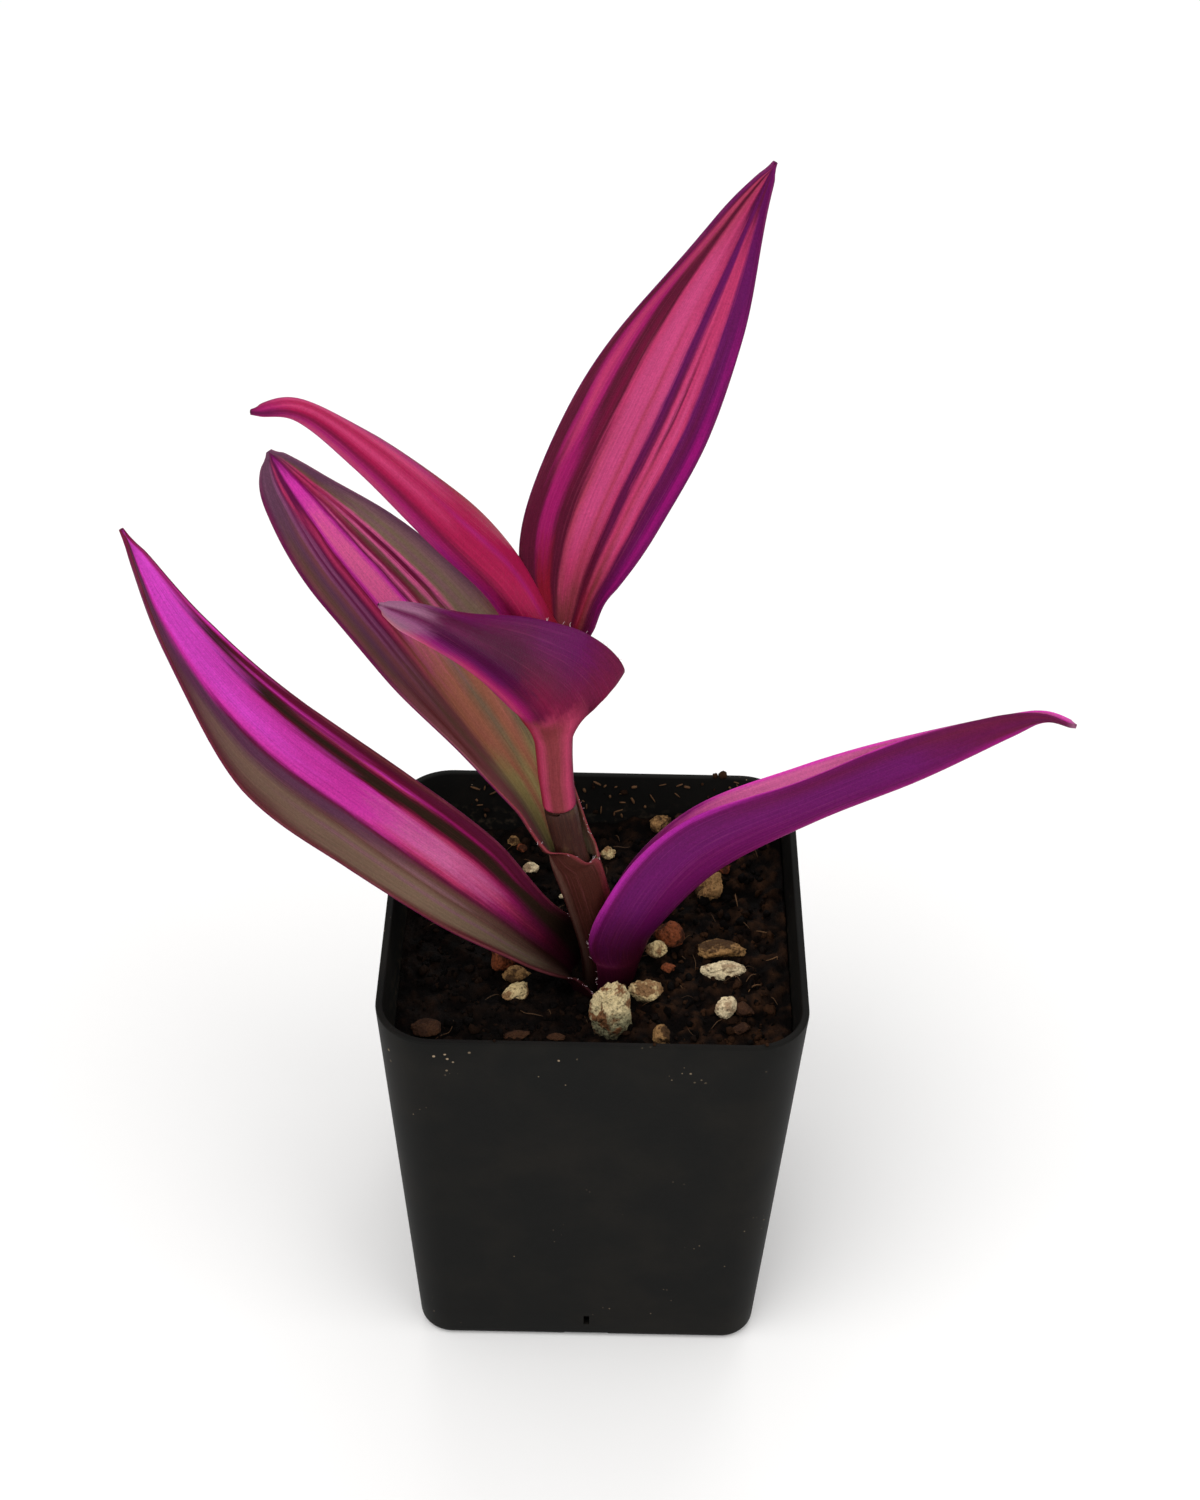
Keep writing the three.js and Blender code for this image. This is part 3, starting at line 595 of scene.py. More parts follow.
def pot_plastic(settings):
    """Matte black moulded plastic with dust and dried soil near the rim."""
    m = Shader("matte_black_plastic", specular_ior_level=0.04)
    place = m.place()
    height = m.part(place, 2)
    normal = m.node("ShaderNodeNewGeometry", output="Normal")
    sideways = m.vector(m.part(place, 0), m.part(place, 1))
    outward = m.node("ShaderNodeVectorMath", {"operation": "DOT_PRODUCT"}, {0: normal, 1: sideways}, "Value")
    inside = outward.rise(0.004, -0.004)
    cloud = m.noise(place, 90)
    specks = m.cells(place, 620).rise(0.16, 0.1) * m.noise(place, 260, 1).rise(0.6, 0.68)
    near_rim = height.rise(0.060, 0.069) * (1 - inside)
    scattered = m.cells(place, 900).rise(0.12, 0.06) * m.noise(place, 140, 1).rise(0.62, 0.7)
    dust = specks * near_rim * 0.9 + scattered * 0.5
    smear = inside * height.rise(0.066, 0.060) * m.noise(place, 700, 4).rise(0.5, 0.72)
    film = cloud.rise(0.35, 0.8) * 0.02
    colour = m.mix(film, settings.plastic, settings.dust)
    colour = m.mix(dust, colour, tuple(min(1.8 * c, 1) for c in settings.dust))
    colour = m.mix(smear * 0.6, colour, tuple(0.35 * c for c in settings.dust))
    grain = m.noise(place, 5200, 2)
    drawn_out = m.node("ShaderNodeVectorMath", {"operation": "MULTIPLY"}, {0: place, 1: (900, 900, 14)})
    flow = m.noise(drawn_out, 1, 2)
    m.relief(grain * 0.5 + flow * 0.35 + cloud * 0.2, 0.00004, 0.55)
    return m.paint(colour, 0.5 + 0.06 * cloud + dust * 0.3 + smear * 0.3)


def peat(settings, name):
    """Wet dark peat. Higher, looser crumbs are drier and browner."""
    m = Shader(name, specular_ior_level=0.05)
    place = m.place()
    tone = m.attribute("tone")
    coarse = m.noise(place, 150, 4)
    fine = m.noise(place, 1600, 4, 0.65)
    # Towards +x the peat is drier and browner, and it is also painted lighter as the side the light falls on.
    dry_and_lit_side = 0.3 + 0.7 * m.part(place, 0).rise(-0.004, 0.018)
    dry = (tone * 0.75 + coarse * 0.6 - 0.35).rise(0.1, 0.75) * dry_and_lit_side
    colour = m.mix(dry, settings.peat, settings.dry)
    colour = m.shade(colour, 0.45 + 1.1 * fine)
    light = m.noise(place, 2600, 2).rise(0.7, 0.78) * dry
    colour = m.mix(light * 0.5, colour, settings.fibre)
    m.relief(fine + m.cells(place, 1500) * 0.5, 0.00035, 0.9)
    return m.paint(colour, 0.95 - 0.35 * coarse.rise(0.4, 0.62) * (1 - dry))


def stone(settings, kind):
    """Porous grain with rusty stains in its hollows, and soil colour with painted shade at its foot."""
    m = Shader(f"grain_{kind}", specular_ior_level=0.15)
    place, lift = m.place(), m.attribute("lift")
    _, stained, stain_colour = GRAINS[kind]
    base = getattr(settings, kind)
    stain = m.noise(place, 300, 4, 0.65).rise(0.47, 0.57)
    pits = m.cells(place, 1300)
    fine = m.noise(place, 3000, 3)
    if kind == "pumice":
        grey = (lift + 0.8 * m.noise(place, 330, 2)).rise(1.4, 0.9)
        base = m.mix(grey, base, rgb(150, 146, 112))
    colour = m.mix(stain * stained, base, rgb(*stain_colour))
    colour = m.shade(colour, 0.42 + 0.9 * fine)
    colour = m.mix(pits.rise(0.34, 0.14) * 0.6, colour, rgb(62, 38, 24))
    # Darker towards the foot: soil on the grain, and painted shade where it sits in the soil.
    foot = (lift + 0.4 * fine).rise(0.62, 0.15)
    colour = m.mix(foot * 0.85, colour, rgb(34, 22, 16))
    m.relief(pits * 0.9 + fine, 0.0004, 0.9)
    return m.paint(colour, 0.75 + 0.2 * fine)


def fibre_material(settings):
    """Dry coir, darker on the fibres of a low tone."""
    m = Shader("coir_fibre", specular_ior_level=0.2)
    tone = m.attribute("tone")
    colour = m.mix(tone, tuple(0.35 * c for c in settings.fibre), settings.fibre)
    colour = m.shade(colour, 0.7 + 0.6 * m.noise(m.place(), 1200, 2))
    return m.paint(colour, 0.6 + 0.2 * tone)


def stem_skin(settings):
    """Smooth skin with fine darker lines along the stem."""
    m = Shader("stem_skin", specular_ior_level=0.2)
    around, along = m.attribute("across"), m.attribute("along")
    lines = m.noise(m.vector(around * 46, along * 1.4), 1, 3).rise(0.42, 0.62)
    blotch = m.noise(m.place(), 420, 3)
    colour = m.mix(lines * 0.6, settings.skin, settings.lines)
    colour = m.mix(blotch.rise(0.5, 0.75) * 0.3, colour, rgb(104, 80, 52))
    m.relief(lines, 0.00008, 0.7)
    return m.paint(colour, 0.42 + 0.15 * blotch)


RUN_BLEND = 0.08  # share of the blade over which one run of stripes gives way to the next


def runs(text):
    """Where each run of stripes starts, and its stops: place from 0 to 1 and tone."""
    for run in text.split(";"):
        start, stripes = run.split(":")
        stripes = [stripe.split() for stripe in stripes.split(",")]
        yield float(start), [(float(place) / 100, tone) for tone, places in stripes for place in places.split("-")]


def leaf_surface(name, settings):
    """Striped leaf: the stripes follow the veins, and differ on the two faces."""
    look = STRIPES[name]
    m = Shader(
        f"{name}_surface",
        specular_ior_level=0.04,
        subsurface_weight=0.06,
        subsurface_radius=(1.0, 0.35, 0.45),
        subsurface_scale=0.0006,
    )
    seed = 7.3 * (1 + sorted(STRIPES).index(name))
    across, along, upper = m.attribute("across"), m.attribute("along"), m.attribute("upper")
    drift = m.noise(m.vector(across * 2.5, along * 5, seed), 1, 2) - 0.5
    fray = m.noise(m.vector(across * 60, along * 22, seed), 1, 2) - 0.5
    feather = m.noise(m.vector(across * 150, along * 9, seed), 1, 2) - 0.5
    wandering = across + drift * 0.035 + fray * 0.018 + feather * 0.03
    onward = along + drift * 0.2 + fray * 0.1
    faces = []
    for face in ("lower", "upper"):
        painted = None
        for start, stops in runs(look[face]):
            stripes = m.ramp(wandering, [(place, tuple(getattr(settings, tone))) for place, tone in stops])
            if painted:
                begun = onward.rise(start - RUN_BLEND, start + RUN_BLEND)
                stripes = m.mix(begun, painted, stripes)
            painted = stripes
        faces.append(painted)
    colour = m.mix(upper.rise(0.4, 0.6), *faces)
    point, start = look["point"]
    colour = m.mix((along + fray * 0.02).rise(start, start + 0.06) * 0.8, colour, getattr(settings, point))

    veins = m.noise(m.vector(across * 95, along * 1.6, seed), 1, 2, 0.5)
    fine_veins = m.noise(m.vector(across * 260, along * 14, seed), 1, 2)
    blotches = m.noise(m.vector(across * 7, along * 9, seed + 3), 1, 4, 0.6)
    place = m.place()
    cells = m.cells(place, 3600)
    speckle = m.noise(place, 2300, 3, 0.8).rise(0.3, 0.7)
    light = 0.3 + 0.36 * veins + 0.46 * fine_veins + 0.26 * blotches + 0.16 * speckle + 0.18 * cells
    colour = m.shade(colour, light)
    pale_lines = (veins * 0.6 + fine_veins * 0.4).rise(0.56, 0.66)
    colour = m.mix(pale_lines * 0.07, colour, settings.blush)
    # Darker towards the soil, by height: partly the leaves' own darker foot, partly painted shade near the soil.
    colour = m.shade(colour, 0.14 + 0.86 * m.part(place, 2).rise(0.056, 0.079))
    margin = abs(across - 0.5).rise(0.488, 0.497)
    colour = m.mix(margin * (0.04 + 0.3 * fray), colour, settings.blush)
    m.relief(veins * 0.8 + cells * 0.35 + fine_veins * 0.3, 0.00012, 0.6)
    return m.paint(colour, 0.36 + 0.12 * blotches + 0.1 * cells)


def hair_material():
    """Pale hairs, pinker where their tone is low."""
    m = Shader("leaf_hair", specular_ior_level=0.4)
    tone = m.attribute("tone")
    colour = m.mix(tone, rgb(196, 140, 160), rgb(236, 226, 224))
    return m.paint(colour, 0.5 + 0.2 * tone)


def floor_material(settings):
    """Plain pale floor with a faint cloud."""
    m = Shader("studio_floor", specular_ior_level=0.1)
    cloud = m.noise(m.place(), 4, 2)
    return m.paint(m.shade(settings.floor, 0.99 + 0.02 * cloud), 0.85 + 0.1 * cloud)


# ---------------------------------------------------------------- meshes


def add_mesh(name, points, faces, material=None, **attributes):
    """Smooth object from points in metres. Each attribute has one value per point."""
    mesh = bpy.data.meshes.new(name)
    mesh.from_pydata(np.asarray(points, float).tolist(), [], [tuple(map(int, f)) for f in faces])
    for key, values in attributes.items():
        layer = mesh.attributes.new(key, "FLOAT", "POINT")
        layer.data.foreach_set("value", np.asarray(values, np.float32))
    mesh.shade_smooth()
    mesh.validate()
    piece = bpy.data.objects.new(name, mesh)
    bpy.context.scene.collection.objects.link(piece)
    if material:
        mesh.materials.append(material)
    return piece


def seat(piece, slot, *nodes):
    """The piece rides on the pot and stands for the nodes. The slot is not used."""
    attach(piece, BODY)
    if nodes:
        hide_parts(*nodes)


class Heap:
    """Many small closed shapes gathered into one mesh."""

    def __init__(self):
        self.points, self.faces, self.tones, self.lifts = [], [], [], []
        self.count = 0

    def add(self, shape, at=(0, 0, 0), tone=0.0, lifts=None):
        points, faces = shape
        self.points.append(points + np.array(at))
        self.faces.extend([tuple(i + self.count for i in face) for face in faces])
        self.tones.append(np.full(len(points), tone))
        self.lifts.append(np.zeros(len(points)) if lifts is None else lifts)
        self.count += len(points)

    def build(self, name, material):
        points = np.concatenate(self.points) * MM
        return add_mesh(
            name, points, self.faces, material, tone=np.concatenate(self.tones), lift=np.concatenate(self.lifts)
        )


def ball(detail):
    """Points and faces of a round blank, radius 1, that a grain is worked from."""
    bm = bmesh.new()
    bmesh.ops.create_icosphere(bm, subdivisions=detail, radius=1)
    points = np.array([v.co for v in bm.verts])
    faces = [tuple(v.index for v in f.verts) for f in bm.faces]
    bm.free()
    return points, faces


def mix(a, b, share):
    """Between a (share 0) and b (share 1)."""
    return a + (b - a) * share


def skewed(rng, span, power=2):
    """Random size in a span, more often small than large."""
    return mix(*span, rng.random() ** power)


def unit(vector):
    """The vector at length 1."""
    return vector / np.linalg.norm(vector)


def smooth_row(rows, u):
    """Values at u (0 is the first row) of a smooth curve through a table's rows, column by column."""
    last = len(rows) - 1
    i = min(int(u), last - 1)
    f = u - i
    p1, p2 = rows[i], rows[i + 1]
    p0 = rows[i - 1] if i > 0 else 2 * p1 - p2
    p3 = rows[i + 2] if i < last - 1 else 2 * p2 - p1
    slope, square, cube = p2 - p0, 2 * p0 - 5 * p1 + 4 * p2 - p3, 3 * p1 - p0 - 3 * p2 + p3
    return 0.5 * (2 * p1 + slope * f + square * f * f + cube * f**3)


# ---------------------------------------------------------------- pot


def rounded_square(half, radius, z, corner_steps, straight_steps):
    """Ring of points round a rounded square, anticlockwise seen from above."""
    arm = half - radius
    corner = [math.pi / 2 * i / corner_steps for i in range(corner_steps + 1)]
    side = [(arm + radius * math.cos(a), arm + radius * math.sin(a)) for a in corner]
    side += [(mix(arm, -arm, i / straight_steps), half) for i in range(1, straight_steps)]
    turns = [(math.cos(math.pi / 2 * k), math.sin(math.pi / 2 * k)) for k in range(4)]
    return np.array([(x * c - y * s, x * s + y * c, z) for c, s in turns for x, y in side])


POT_EDGE = 1.5  # rounding of the underside's edge, inside and out
POT_FLOOR = 1.8
POT_LIP = 0.3  # rounding of the rim
TOP_RADIUS, BASE_RADIUS = 8.7, 5.2  # of the pot's upright corners
RIM_HEIGHT = 70
WALL_LEAN = 0.075  # how far the wall comes in for each millimetre down
FOOT_GAP, DRAIN_SLIT, SLIT_HEIGHT = (7, 6, 2), (0.9, 8, 2.2), 4.4
HOLE_PLACE, HOLE_RADIUS = 15, 2.6


def pot_ring(pot, z, inset, corner_steps=16, straight_steps=8):
    """Ring of the pot's outside at height z, moved inwards by inset."""
    share = z / (pot.height / MM)
    half = mix(pot.base_width, pot.top_width, share) / MM / 2 - inset
    radius = max(mix(BASE_RADIUS, TOP_RADIUS, share) - inset, 0.6)
    return rounded_square(half, radius, z, corner_steps, straight_steps)


def loft(rings):
    """Closed skin through rings of equal point count, with a point in the middle of each end."""
    count = len(rings[0])
    points = np.concatenate([*rings, [rings[0].mean(0)], [rings[-1].mean(0)]])
    faces = []
    for r in range(len(rings) - 1):
        a = r * count
        for i in range(count):
            j = (i + 1) % count
            faces.append((a + i, a + j, a + count + j, a + count + i))
    bottom, top, start = len(points) - 2, len(points) - 1, (len(rings) - 1) * count
    for i in range(count):
        j = (i + 1) % count
        faces += [(bottom, j, i), (top, start + i, start + j)]
    return points, faces


def pot_profile(pot):
    """Height and inset of the rings, from the underside up the outside, over the rim and down the inside."""
    height, wall = pot.height / MM, pot.wall / MM
    quarter = [math.pi / 2 * i / 5 for i in range(6)]
    profile = [(POT_EDGE * (1 - math.cos(a)), POT_EDGE * (1 - math.sin(a))) for a in quarter]
    profile += [(mix(POT_EDGE, height - POT_LIP, i / 14), 0) for i in range(1, 14)]
    profile += [(height - POT_LIP * (1 - math.sin(a)), POT_LIP * (1 - math.cos(a))) for a in quarter]
    profile += [(height - POT_LIP * (1 - math.cos(a)), wall - POT_LIP * (1 - math.sin(a))) for a in quarter]
    profile += [(mix(height - POT_LIP, POT_FLOOR + POT_EDGE, i / 12), wall) for i in range(1, 12)]
    profile += [
        (POT_FLOOR + POT_EDGE * (1 - math.sin(a)), wall + POT_EDGE * (1 - math.cos(a))) for a in quarter
    ]
    return profile


def pot_openings(pot):
    """Solids to take away: a foot gap and a drain slit in each side, and drain holes in the floor."""
    bm = bmesh.new()
    reach = pot.base_width / MM / 2
    blocks = [(FOOT_GAP, (0, -reach, 0)), (DRAIN_SLIT, (0, -reach, SLIT_HEIGHT))]
    drill = {"cap_ends": True, "segments": 28, "radius1": HOLE_RADIUS, "radius2": HOLE_RADIUS, "depth": 6}
    for turn in range(4):
        spin = Matrix.Rotation(math.pi / 2 * turn, 4, "Z")
        for size, centre in blocks:
            block = spin @ Matrix.Translation(centre) @ Matrix.Diagonal((*size, 1))
            bmesh.ops.create_cube(bm, size=1, matrix=block)
        bmesh.ops.create_cone(bm, **drill, matrix=spin @ Matrix.Translation((HOLE_PLACE, HOLE_PLACE, 0)))
    bmesh.ops.scale(bm, vec=(MM,) * 3, verts=bm.verts)
    mesh = bpy.data.meshes.new("pot_openings")
    bm.to_mesh(mesh)
    bm.free()
    cutter = bpy.data.objects.new("pot_openings", mesh)
    bpy.context.scene.collection.objects.link(cutter)
    return cutter


def back_wall(pot, z):
    """How far back the inside of the back wall is at height z."""
    return pot.top_width / MM / 2 - pot.wall / MM - WALL_LEAN * (RIM_HEIGHT - z)


def build_pot(pot):
    """Lofted shell with its openings cut."""
    points, faces = loft([pot_ring(pot, z, inset) for z, inset in pot_profile(pot)])
    piece = add_mesh("nursery_pot", points * MM, faces)
    cutter = pot_openings(pot)
    cut = piece.modifiers.new("openings", "BOOLEAN")
    cut.operation, cut.object, cut.solver = "DIFFERENCE", cutter, "EXACT"
    settled = piece.evaluated_get(bpy.context.evaluated_depsgraph_get())
    mesh = bpy.data.meshes.new_from_object(settled)
    piece.modifiers.clear()
    piece.data = mesh
    bpy.data.objects.remove(cutter)
    mesh.shade_smooth()
    mesh.set_sharp_from_angle(angle=math.radians(38))
    mesh.materials.clear()
    mesh.materials.append(pot_plastic(pot))
    seat(piece, "pot_plastic", "pot")


# ---------------------------------------------------------------- soil

SEEDS = {"crumbs": 5, "fibres": 9, "grains": 3, "hairs": 21}
PLANT_FOOT = (1.8, -3)
SOIL_GAP = 0.12  # between the soil and the wall
SOIL_RIM = 61  # height of the wall where the surface meets it
SOIL_RINGS, INNERMOST, RING_SPREAD = 96, 0.012, 0.92
CRUMB_MARGIN = 3.4  # crumbs keep this far inside the rim, and inside its round corners
CORNER_CENTRE, CORNER_REACH = 22, 5.4
CRUMB_CLEARANCE, FIBRE_CLEARANCE = 4, 6  # round the plant
FIBRE_FIELD, FIBRE_LIMIT = 27, 28.2  # how far from the middle a fibre starts, and how far it may lie
FIBRE_STEPS, FIBRE_LIFT, FIBRE_WANDER = 11, 0.28, 0.06
FULL_TURN = 6.3
CRUMB_SIZE = (0.45, 1.7)
STICK_RADIUS = 0.12
FIBRE_LENGTH, FIBRE_RADIUS = (1.5, 6), (0.04, 0.1)
WALL_CRUMBS, WALL_CRUMB_SIZE = 26, (0.4, 1.1)
WALL_FIBRES, WALL_FIBRE_LENGTH, WALL_FIBRE_RADIUS = 46, (0.4, 1.8), (0.12, 0.3)


def dip(x, y, centre_x, centre_y, depth, spread):
    """Depth of a round hollow at a point."""
    return depth * math.exp(-((x - centre_x) ** 2 + (y - centre_y) ** 2) / (2 * spread**2))


def ground(x, y, level):
    """Height of the soil's surface without its crumbs."""
    rough = math.sin(0.9 * x + 1.7 * math.sin(0.37 * y)) * math.cos(0.8 * y - 1.3 * math.sin(0.41 * x))
    dips = dip(x, y, 0.5, -5, 3.2, 8) + dip(x, y, -22, 22, 2.4, 13)
    return level / MM + 0.06 * x + 0.03 * y + 0.45 * rough - dips


def crumbled(x, y, level):
    """Height of the soil's surface with its crumbs, and how high it stands there from 0 to 1."""
    spot = Vector((x, y, 0))
    lumps = noise.fractal(spot * 0.42 + Vector((3, 9, 5)), 0.9, 2.1, 4)
    cells = noise.voronoi(spot * 0.62)[0]
    crumb = max(0.0, 0.75 - 1.25 * cells[0])
    fine = noise.noise(spot * 3.1)
    height = ground(x, y, level) + 0.5 * lumps + 0.62 * crumb + 0.16 * fine - 0.25
    return height, min(max(0.35 + 0.45 * lumps + 0.5 * crumb, 0.0), 1.0)


def from_foot(x, y):
    """Distance of a point on the soil from the plant."""
    return math.hypot(x - PLANT_FOOT[0], y - PLANT_FOOT[1])


def build_soil(soil, pot):
    """Block of potting mix that fills the pot, with a crumbly top."""
    inset = pot.wall / MM + SOIL_GAP
    steps = {"corner_steps": 40, "straight_steps": 80}
    rim = pot_ring(pot, SOIL_RIM, inset, **steps)
    shares = np.linspace(1, INNERMOST, SOIL_RINGS) ** RING_SPREAD
    levels = ((POT_FLOOR + 0.1, POT_EDGE), (3.4, 0), (30, 0), (55, 0))
    base = [pot_ring(pot, z, inset + extra, **steps) for z, extra in levels]
    rings, tones = base, [np.zeros(len(rim)) for _ in base]
    for share in shares:
        surface = [(x * share, y * share, *crumbled(x * share, y * share, soil.level)) for x, y, _ in rim]
        rings.append(np.array([row[:3] for row in surface]))
        tones.append(np.array([row[3] for row in surface]))
    points, faces = loft(rings)
    tone = np.concatenate([*tones, [0], [tones[-1].mean()]])
    piece = add_mesh("potting_mix", points * MM, faces, peat(soil, "peat_surface"), tone=tone)
    seat(piece, "potting_mix", "soil")


def worked_grain(blank, rng, size, turn, push, pit=0.0, facets=0):
    """A grain: the blank with broken facets and pushed corners, stretched to size and turned."""
    points, faces = blank
    offset = Vector(rng.uniform(-50, 50, 3))
    cuts = [(unit(rng.normal(0, 1, 3)), rng.uniform(0.62, 0.9)) for _ in range(facets)]
    shaped = []
    for p in points:
        v = Vector(p)
        swell = min([1.0] + [depth / max(p @ normal, 0.01) for normal, depth in cuts])
        swell += push * (noise.noise(v * 1.3 + offset) + 0.5 * noise.noise(v * 3.1 + offset))
        if pit:
            hollow = max(0.0, 0.5 - noise.voronoi(v * 2.6 + offset)[0][0])
            swell -= pit * hollow + 0.4 * pit * noise.noise(v * 7 + offset)
        shaped.append(p * swell)
    shaped = np.array(shaped)
    shaped = (shaped - (shaped.max(0) + shaped.min(0)) / 2) / np.ptp(shaped, axis=0) * np.array(size)
    c, s = math.cos(turn), math.sin(turn)
    return shaped @ np.array([(c, s, 0), (-s, c, 0), (0, 0, 1)]), faces


def build_crumbs(soil, pot):
    """Loose crumbs of peat and bark on the surface, a few of them caught on the rim."""
    rng = np.random.default_rng(SEEDS["crumbs"])
    blank = ball(2)
    heap = Heap()
    half = pot.top_width / MM / 2 - CRUMB_MARGIN
    while len(heap.points) < soil.crumbs:
        x, y = rng.uniform(-half, half, 2)
        size = skewed(rng, CRUMB_SIZE, 3)
        turn = rng.uniform(0, FULL_TURN)
        corner = math.hypot(*(max(abs(v) - CORNER_CENTRE, 0) for v in (x, y)))
        if corner > CORNER_REACH or from_foot(x, y) < CRUMB_CLEARANCE:
            continue
        crumb = worked_grain(blank, rng, size * rng.uniform(0.5, 1.4, 3), turn, 0.5, facets=3)
        height = crumbled(x, y, soil.level)[0] + 0.12 * size
        heap.add(crumb, (x, y, height), tone=rng.random() ** 1.5)
    for x, y, size in RIM_CRUMBS:
        crumb = worked_grain(blank, rng, size * rng.uniform(0.7, 1.1, 3), 0, 0.3)
        heap.add(crumb, (x, y, pot.height / MM + 0.3 * size), tone=0.9)
    for _ in range(WALL_CRUMBS):
        x, z, size = rng.uniform(-21, 21), 69 - 7 * rng.random() ** 1.5, skewed(rng, WALL_CRUMB_SIZE)
        crumb = worked_grain(blank, rng, size * rng.uniform(0.6, 1.4, 3), 0, 0.3)
        heap.add(crumb, (x, back_wall(pot, z) - 0.15 * size, z), tone=rng.uniform(0.3, 1))
    seat(heap.build("loose_crumbs", peat(soil, "peat_crumbs")), "potting_mix")


def tube(path, radius, sides=5):
    """Closed thin tube along a path, tapered at both ends."""
    rings = []
    for i, p in enumerate(path):
        along = unit(path[min(i + 1, len(path) - 1)] - path[max(i - 1, 0)])
        side = unit(np.cross(along, (0.31, 0.2, 0.93)))
        other = np.cross(along, side)
        r = radius * (0.45 + 0.55 * math.sin(math.pi * (i + 0.5) / len(path)))
        angles = [2 * math.pi * k / sides for k in range(sides)]
        rings.append(np.array([p + r * (math.cos(a) * side + math.sin(a) * other) for a in angles]))
    return loft(rings)


def lay_fibre(start, heading, bend, reach, hump, soil, rng):
    """Path of a fibre over the crumbs."""
    (x, y), path = start, []
    for i in range(FIBRE_STEPS):
        x, y = (min(max(v, -FIBRE_LIMIT), FIBRE_LIMIT) for v in (x, y))
        lift = FIBRE_LIFT + hump * math.sin(math.pi * i / (FIBRE_STEPS - 1))
        path.append((x, y, crumbled(x, y, soil.level)[0] + lift))
        x += math.cos(heading) * reach / FIBRE_STEPS
        y += math.sin(heading) * reach / FIBRE_STEPS
        heading += bend + rng.normal(0, FIBRE_WANDER)
    path = np.array(path)
    for _ in range(3):
        path[1:-1] = (path[:-2] + 2 * path[1:-1] + path[2:]) / 4
    return path


def build_fibres(soil, pot):
    """Coir fibres lying over the crumbs, more of them on the right."""
    rng = np.random.default_rng(SEEDS["fibres"])
    heap = Heap()
    for x, y, heading, reach in STICKS:
        path = lay_fibre((x, y), math.radians(heading), rng.normal(0, 0.05), reach, 0.4, soil, rng)
        heap.add(tube(path, STICK_RADIUS), tone=1.0)
    while len(heap.points) < soil.fibres:
        x, y = rng.uniform(-FIBRE_FIELD, FIBRE_FIELD, 2)
        likely = 0.35 + 0.65 * (x + FIBRE_FIELD) / (2 * FIBRE_FIELD)
        if rng.random() > likely or from_foot(x, y) < FIBRE_CLEARANCE:
            continue
        reach = skewed(rng, FIBRE_LENGTH)
        heading, bend, hump = rng.uniform(0, FULL_TURN), rng.normal(0, 0.07), rng.uniform(0.1, 0.5)
        path = lay_fibre((x, y), heading, bend, reach, hump, soil, rng)
        heap.add(tube(path, skewed(rng, FIBRE_RADIUS)), tone=rng.random() * 0.6)
    for _ in range(WALL_FIBRES):
        x, z, reach = rng.uniform(-22, 24), 69.4 - 8 * rng.random() ** 1.3, skewed(rng, WALL_FIBRE_LENGTH)
        heading = rng.uniform(0, 3.1)
        places = np.linspace(0, reach, 6)
        path = np.array([(x + t * math.cos(heading), 0, z + t * math.sin(heading)) for t in places])
        path[:, 2] = np.minimum(path[:, 2], RIM_HEIGHT - 0.5)
        path[:, 1] = back_wall(pot, path[:, 2]) - 0.1
        heap.add(tube(path, skewed(rng, WALL_FIBRE_RADIUS)), tone=rng.uniform(0.5, 1))
    seat(heap.build("coir_fibres", fibre_material(soil)), "potting_mix")


def build_stones(stones, soil):
    """The larger grains, one piece for each kind."""
    rng = np.random.default_rng(SEEDS["grains"])
    heaps = {}
    blanks = {True: ball(6), False: ball(5)}
    for x, y, *size, turn, kind in CHUNKS:
        heap = heaps.setdefault(kind, Heap())
        blank, height = blanks[kind == "pumice"], size[2]
        points, faces = worked_grain(blank, rng, size, math.radians(turn), 0.16, GRAINS[kind][0], 9)
        lifts = (points[:, 2] + 0.3 * height) / (0.6 * height)
        place = (x, y, ground(x, y, soil.level) + 0.25 * height)
        heap.add((points, faces), place, lifts=np.clip(lifts, 0, 1))
    for kind, heap in heaps.items():
        seat(heap.build(f"{kind}_grains", stone(stones, kind)), "potting_mix")


# ---------------------------------------------------------------- stem and leaves


STEM_SIDES, STEM_ROWS = 40, 10  # points round it, and rings for each row of its table
STEM_RIBS, STEM_RIB = 9, 0.018  # number of ribs, and their height as a share of the radius


def stem_at(z):
    """Point of the stem's axis at height z."""
    i = max(int(np.argmax(STEM[:, 2] > z)) - 1, 0)
    u = i + (z - STEM[i, 2]) / (STEM[i + 1, 2] - STEM[i, 2])
    return np.append(smooth_row(STEM[:, :2], u), z)


def build_stem(settings):
    """Round stem with shallow ribs."""
    rings, around, along = [], [], []
    last = len(STEM) - 1
    for k in range(last * STEM_ROWS + 1):
        u = k / STEM_ROWS
        x, y, z, radius = smooth_row(STEM, u)
        direction = unit(smooth_row(STEM, min(u + 0.05, last))[:3] - smooth_row(STEM, max(u - 0.05, 0))[:3])
        side = unit(np.cross(direction, (0, 1, 0)))
        other = np.cross(direction, side)
        angles = np.arange(STEM_SIDES) * 2 * math.pi / STEM_SIDES
        r = radius * (1 + STEM_RIB * np.sin(STEM_RIBS * angles + 0.6 * u))[:, None]
        rings.append(np.array((x, y, z)) + r * (np.cos(angles)[:, None] * side + np.sin(angles)[:, None] * other))
        around.append(np.abs(1 - angles / math.pi))
        along.append(np.full(STEM_SIDES, z / 10))
    points, faces = loft(rings)
    ends = [[0.5, 0.5]], [[STEM[0, 2] / 10, STEM[-1, 2] / 10]]
    across, height = (np.concatenate([*values, *end]) for values, end in zip((around, along), ends))
    piece = add_mesh("bare_stem", points * MM, faces, stem_skin(settings), across=across, along=height)
    seat(piece, "stem", "stem")


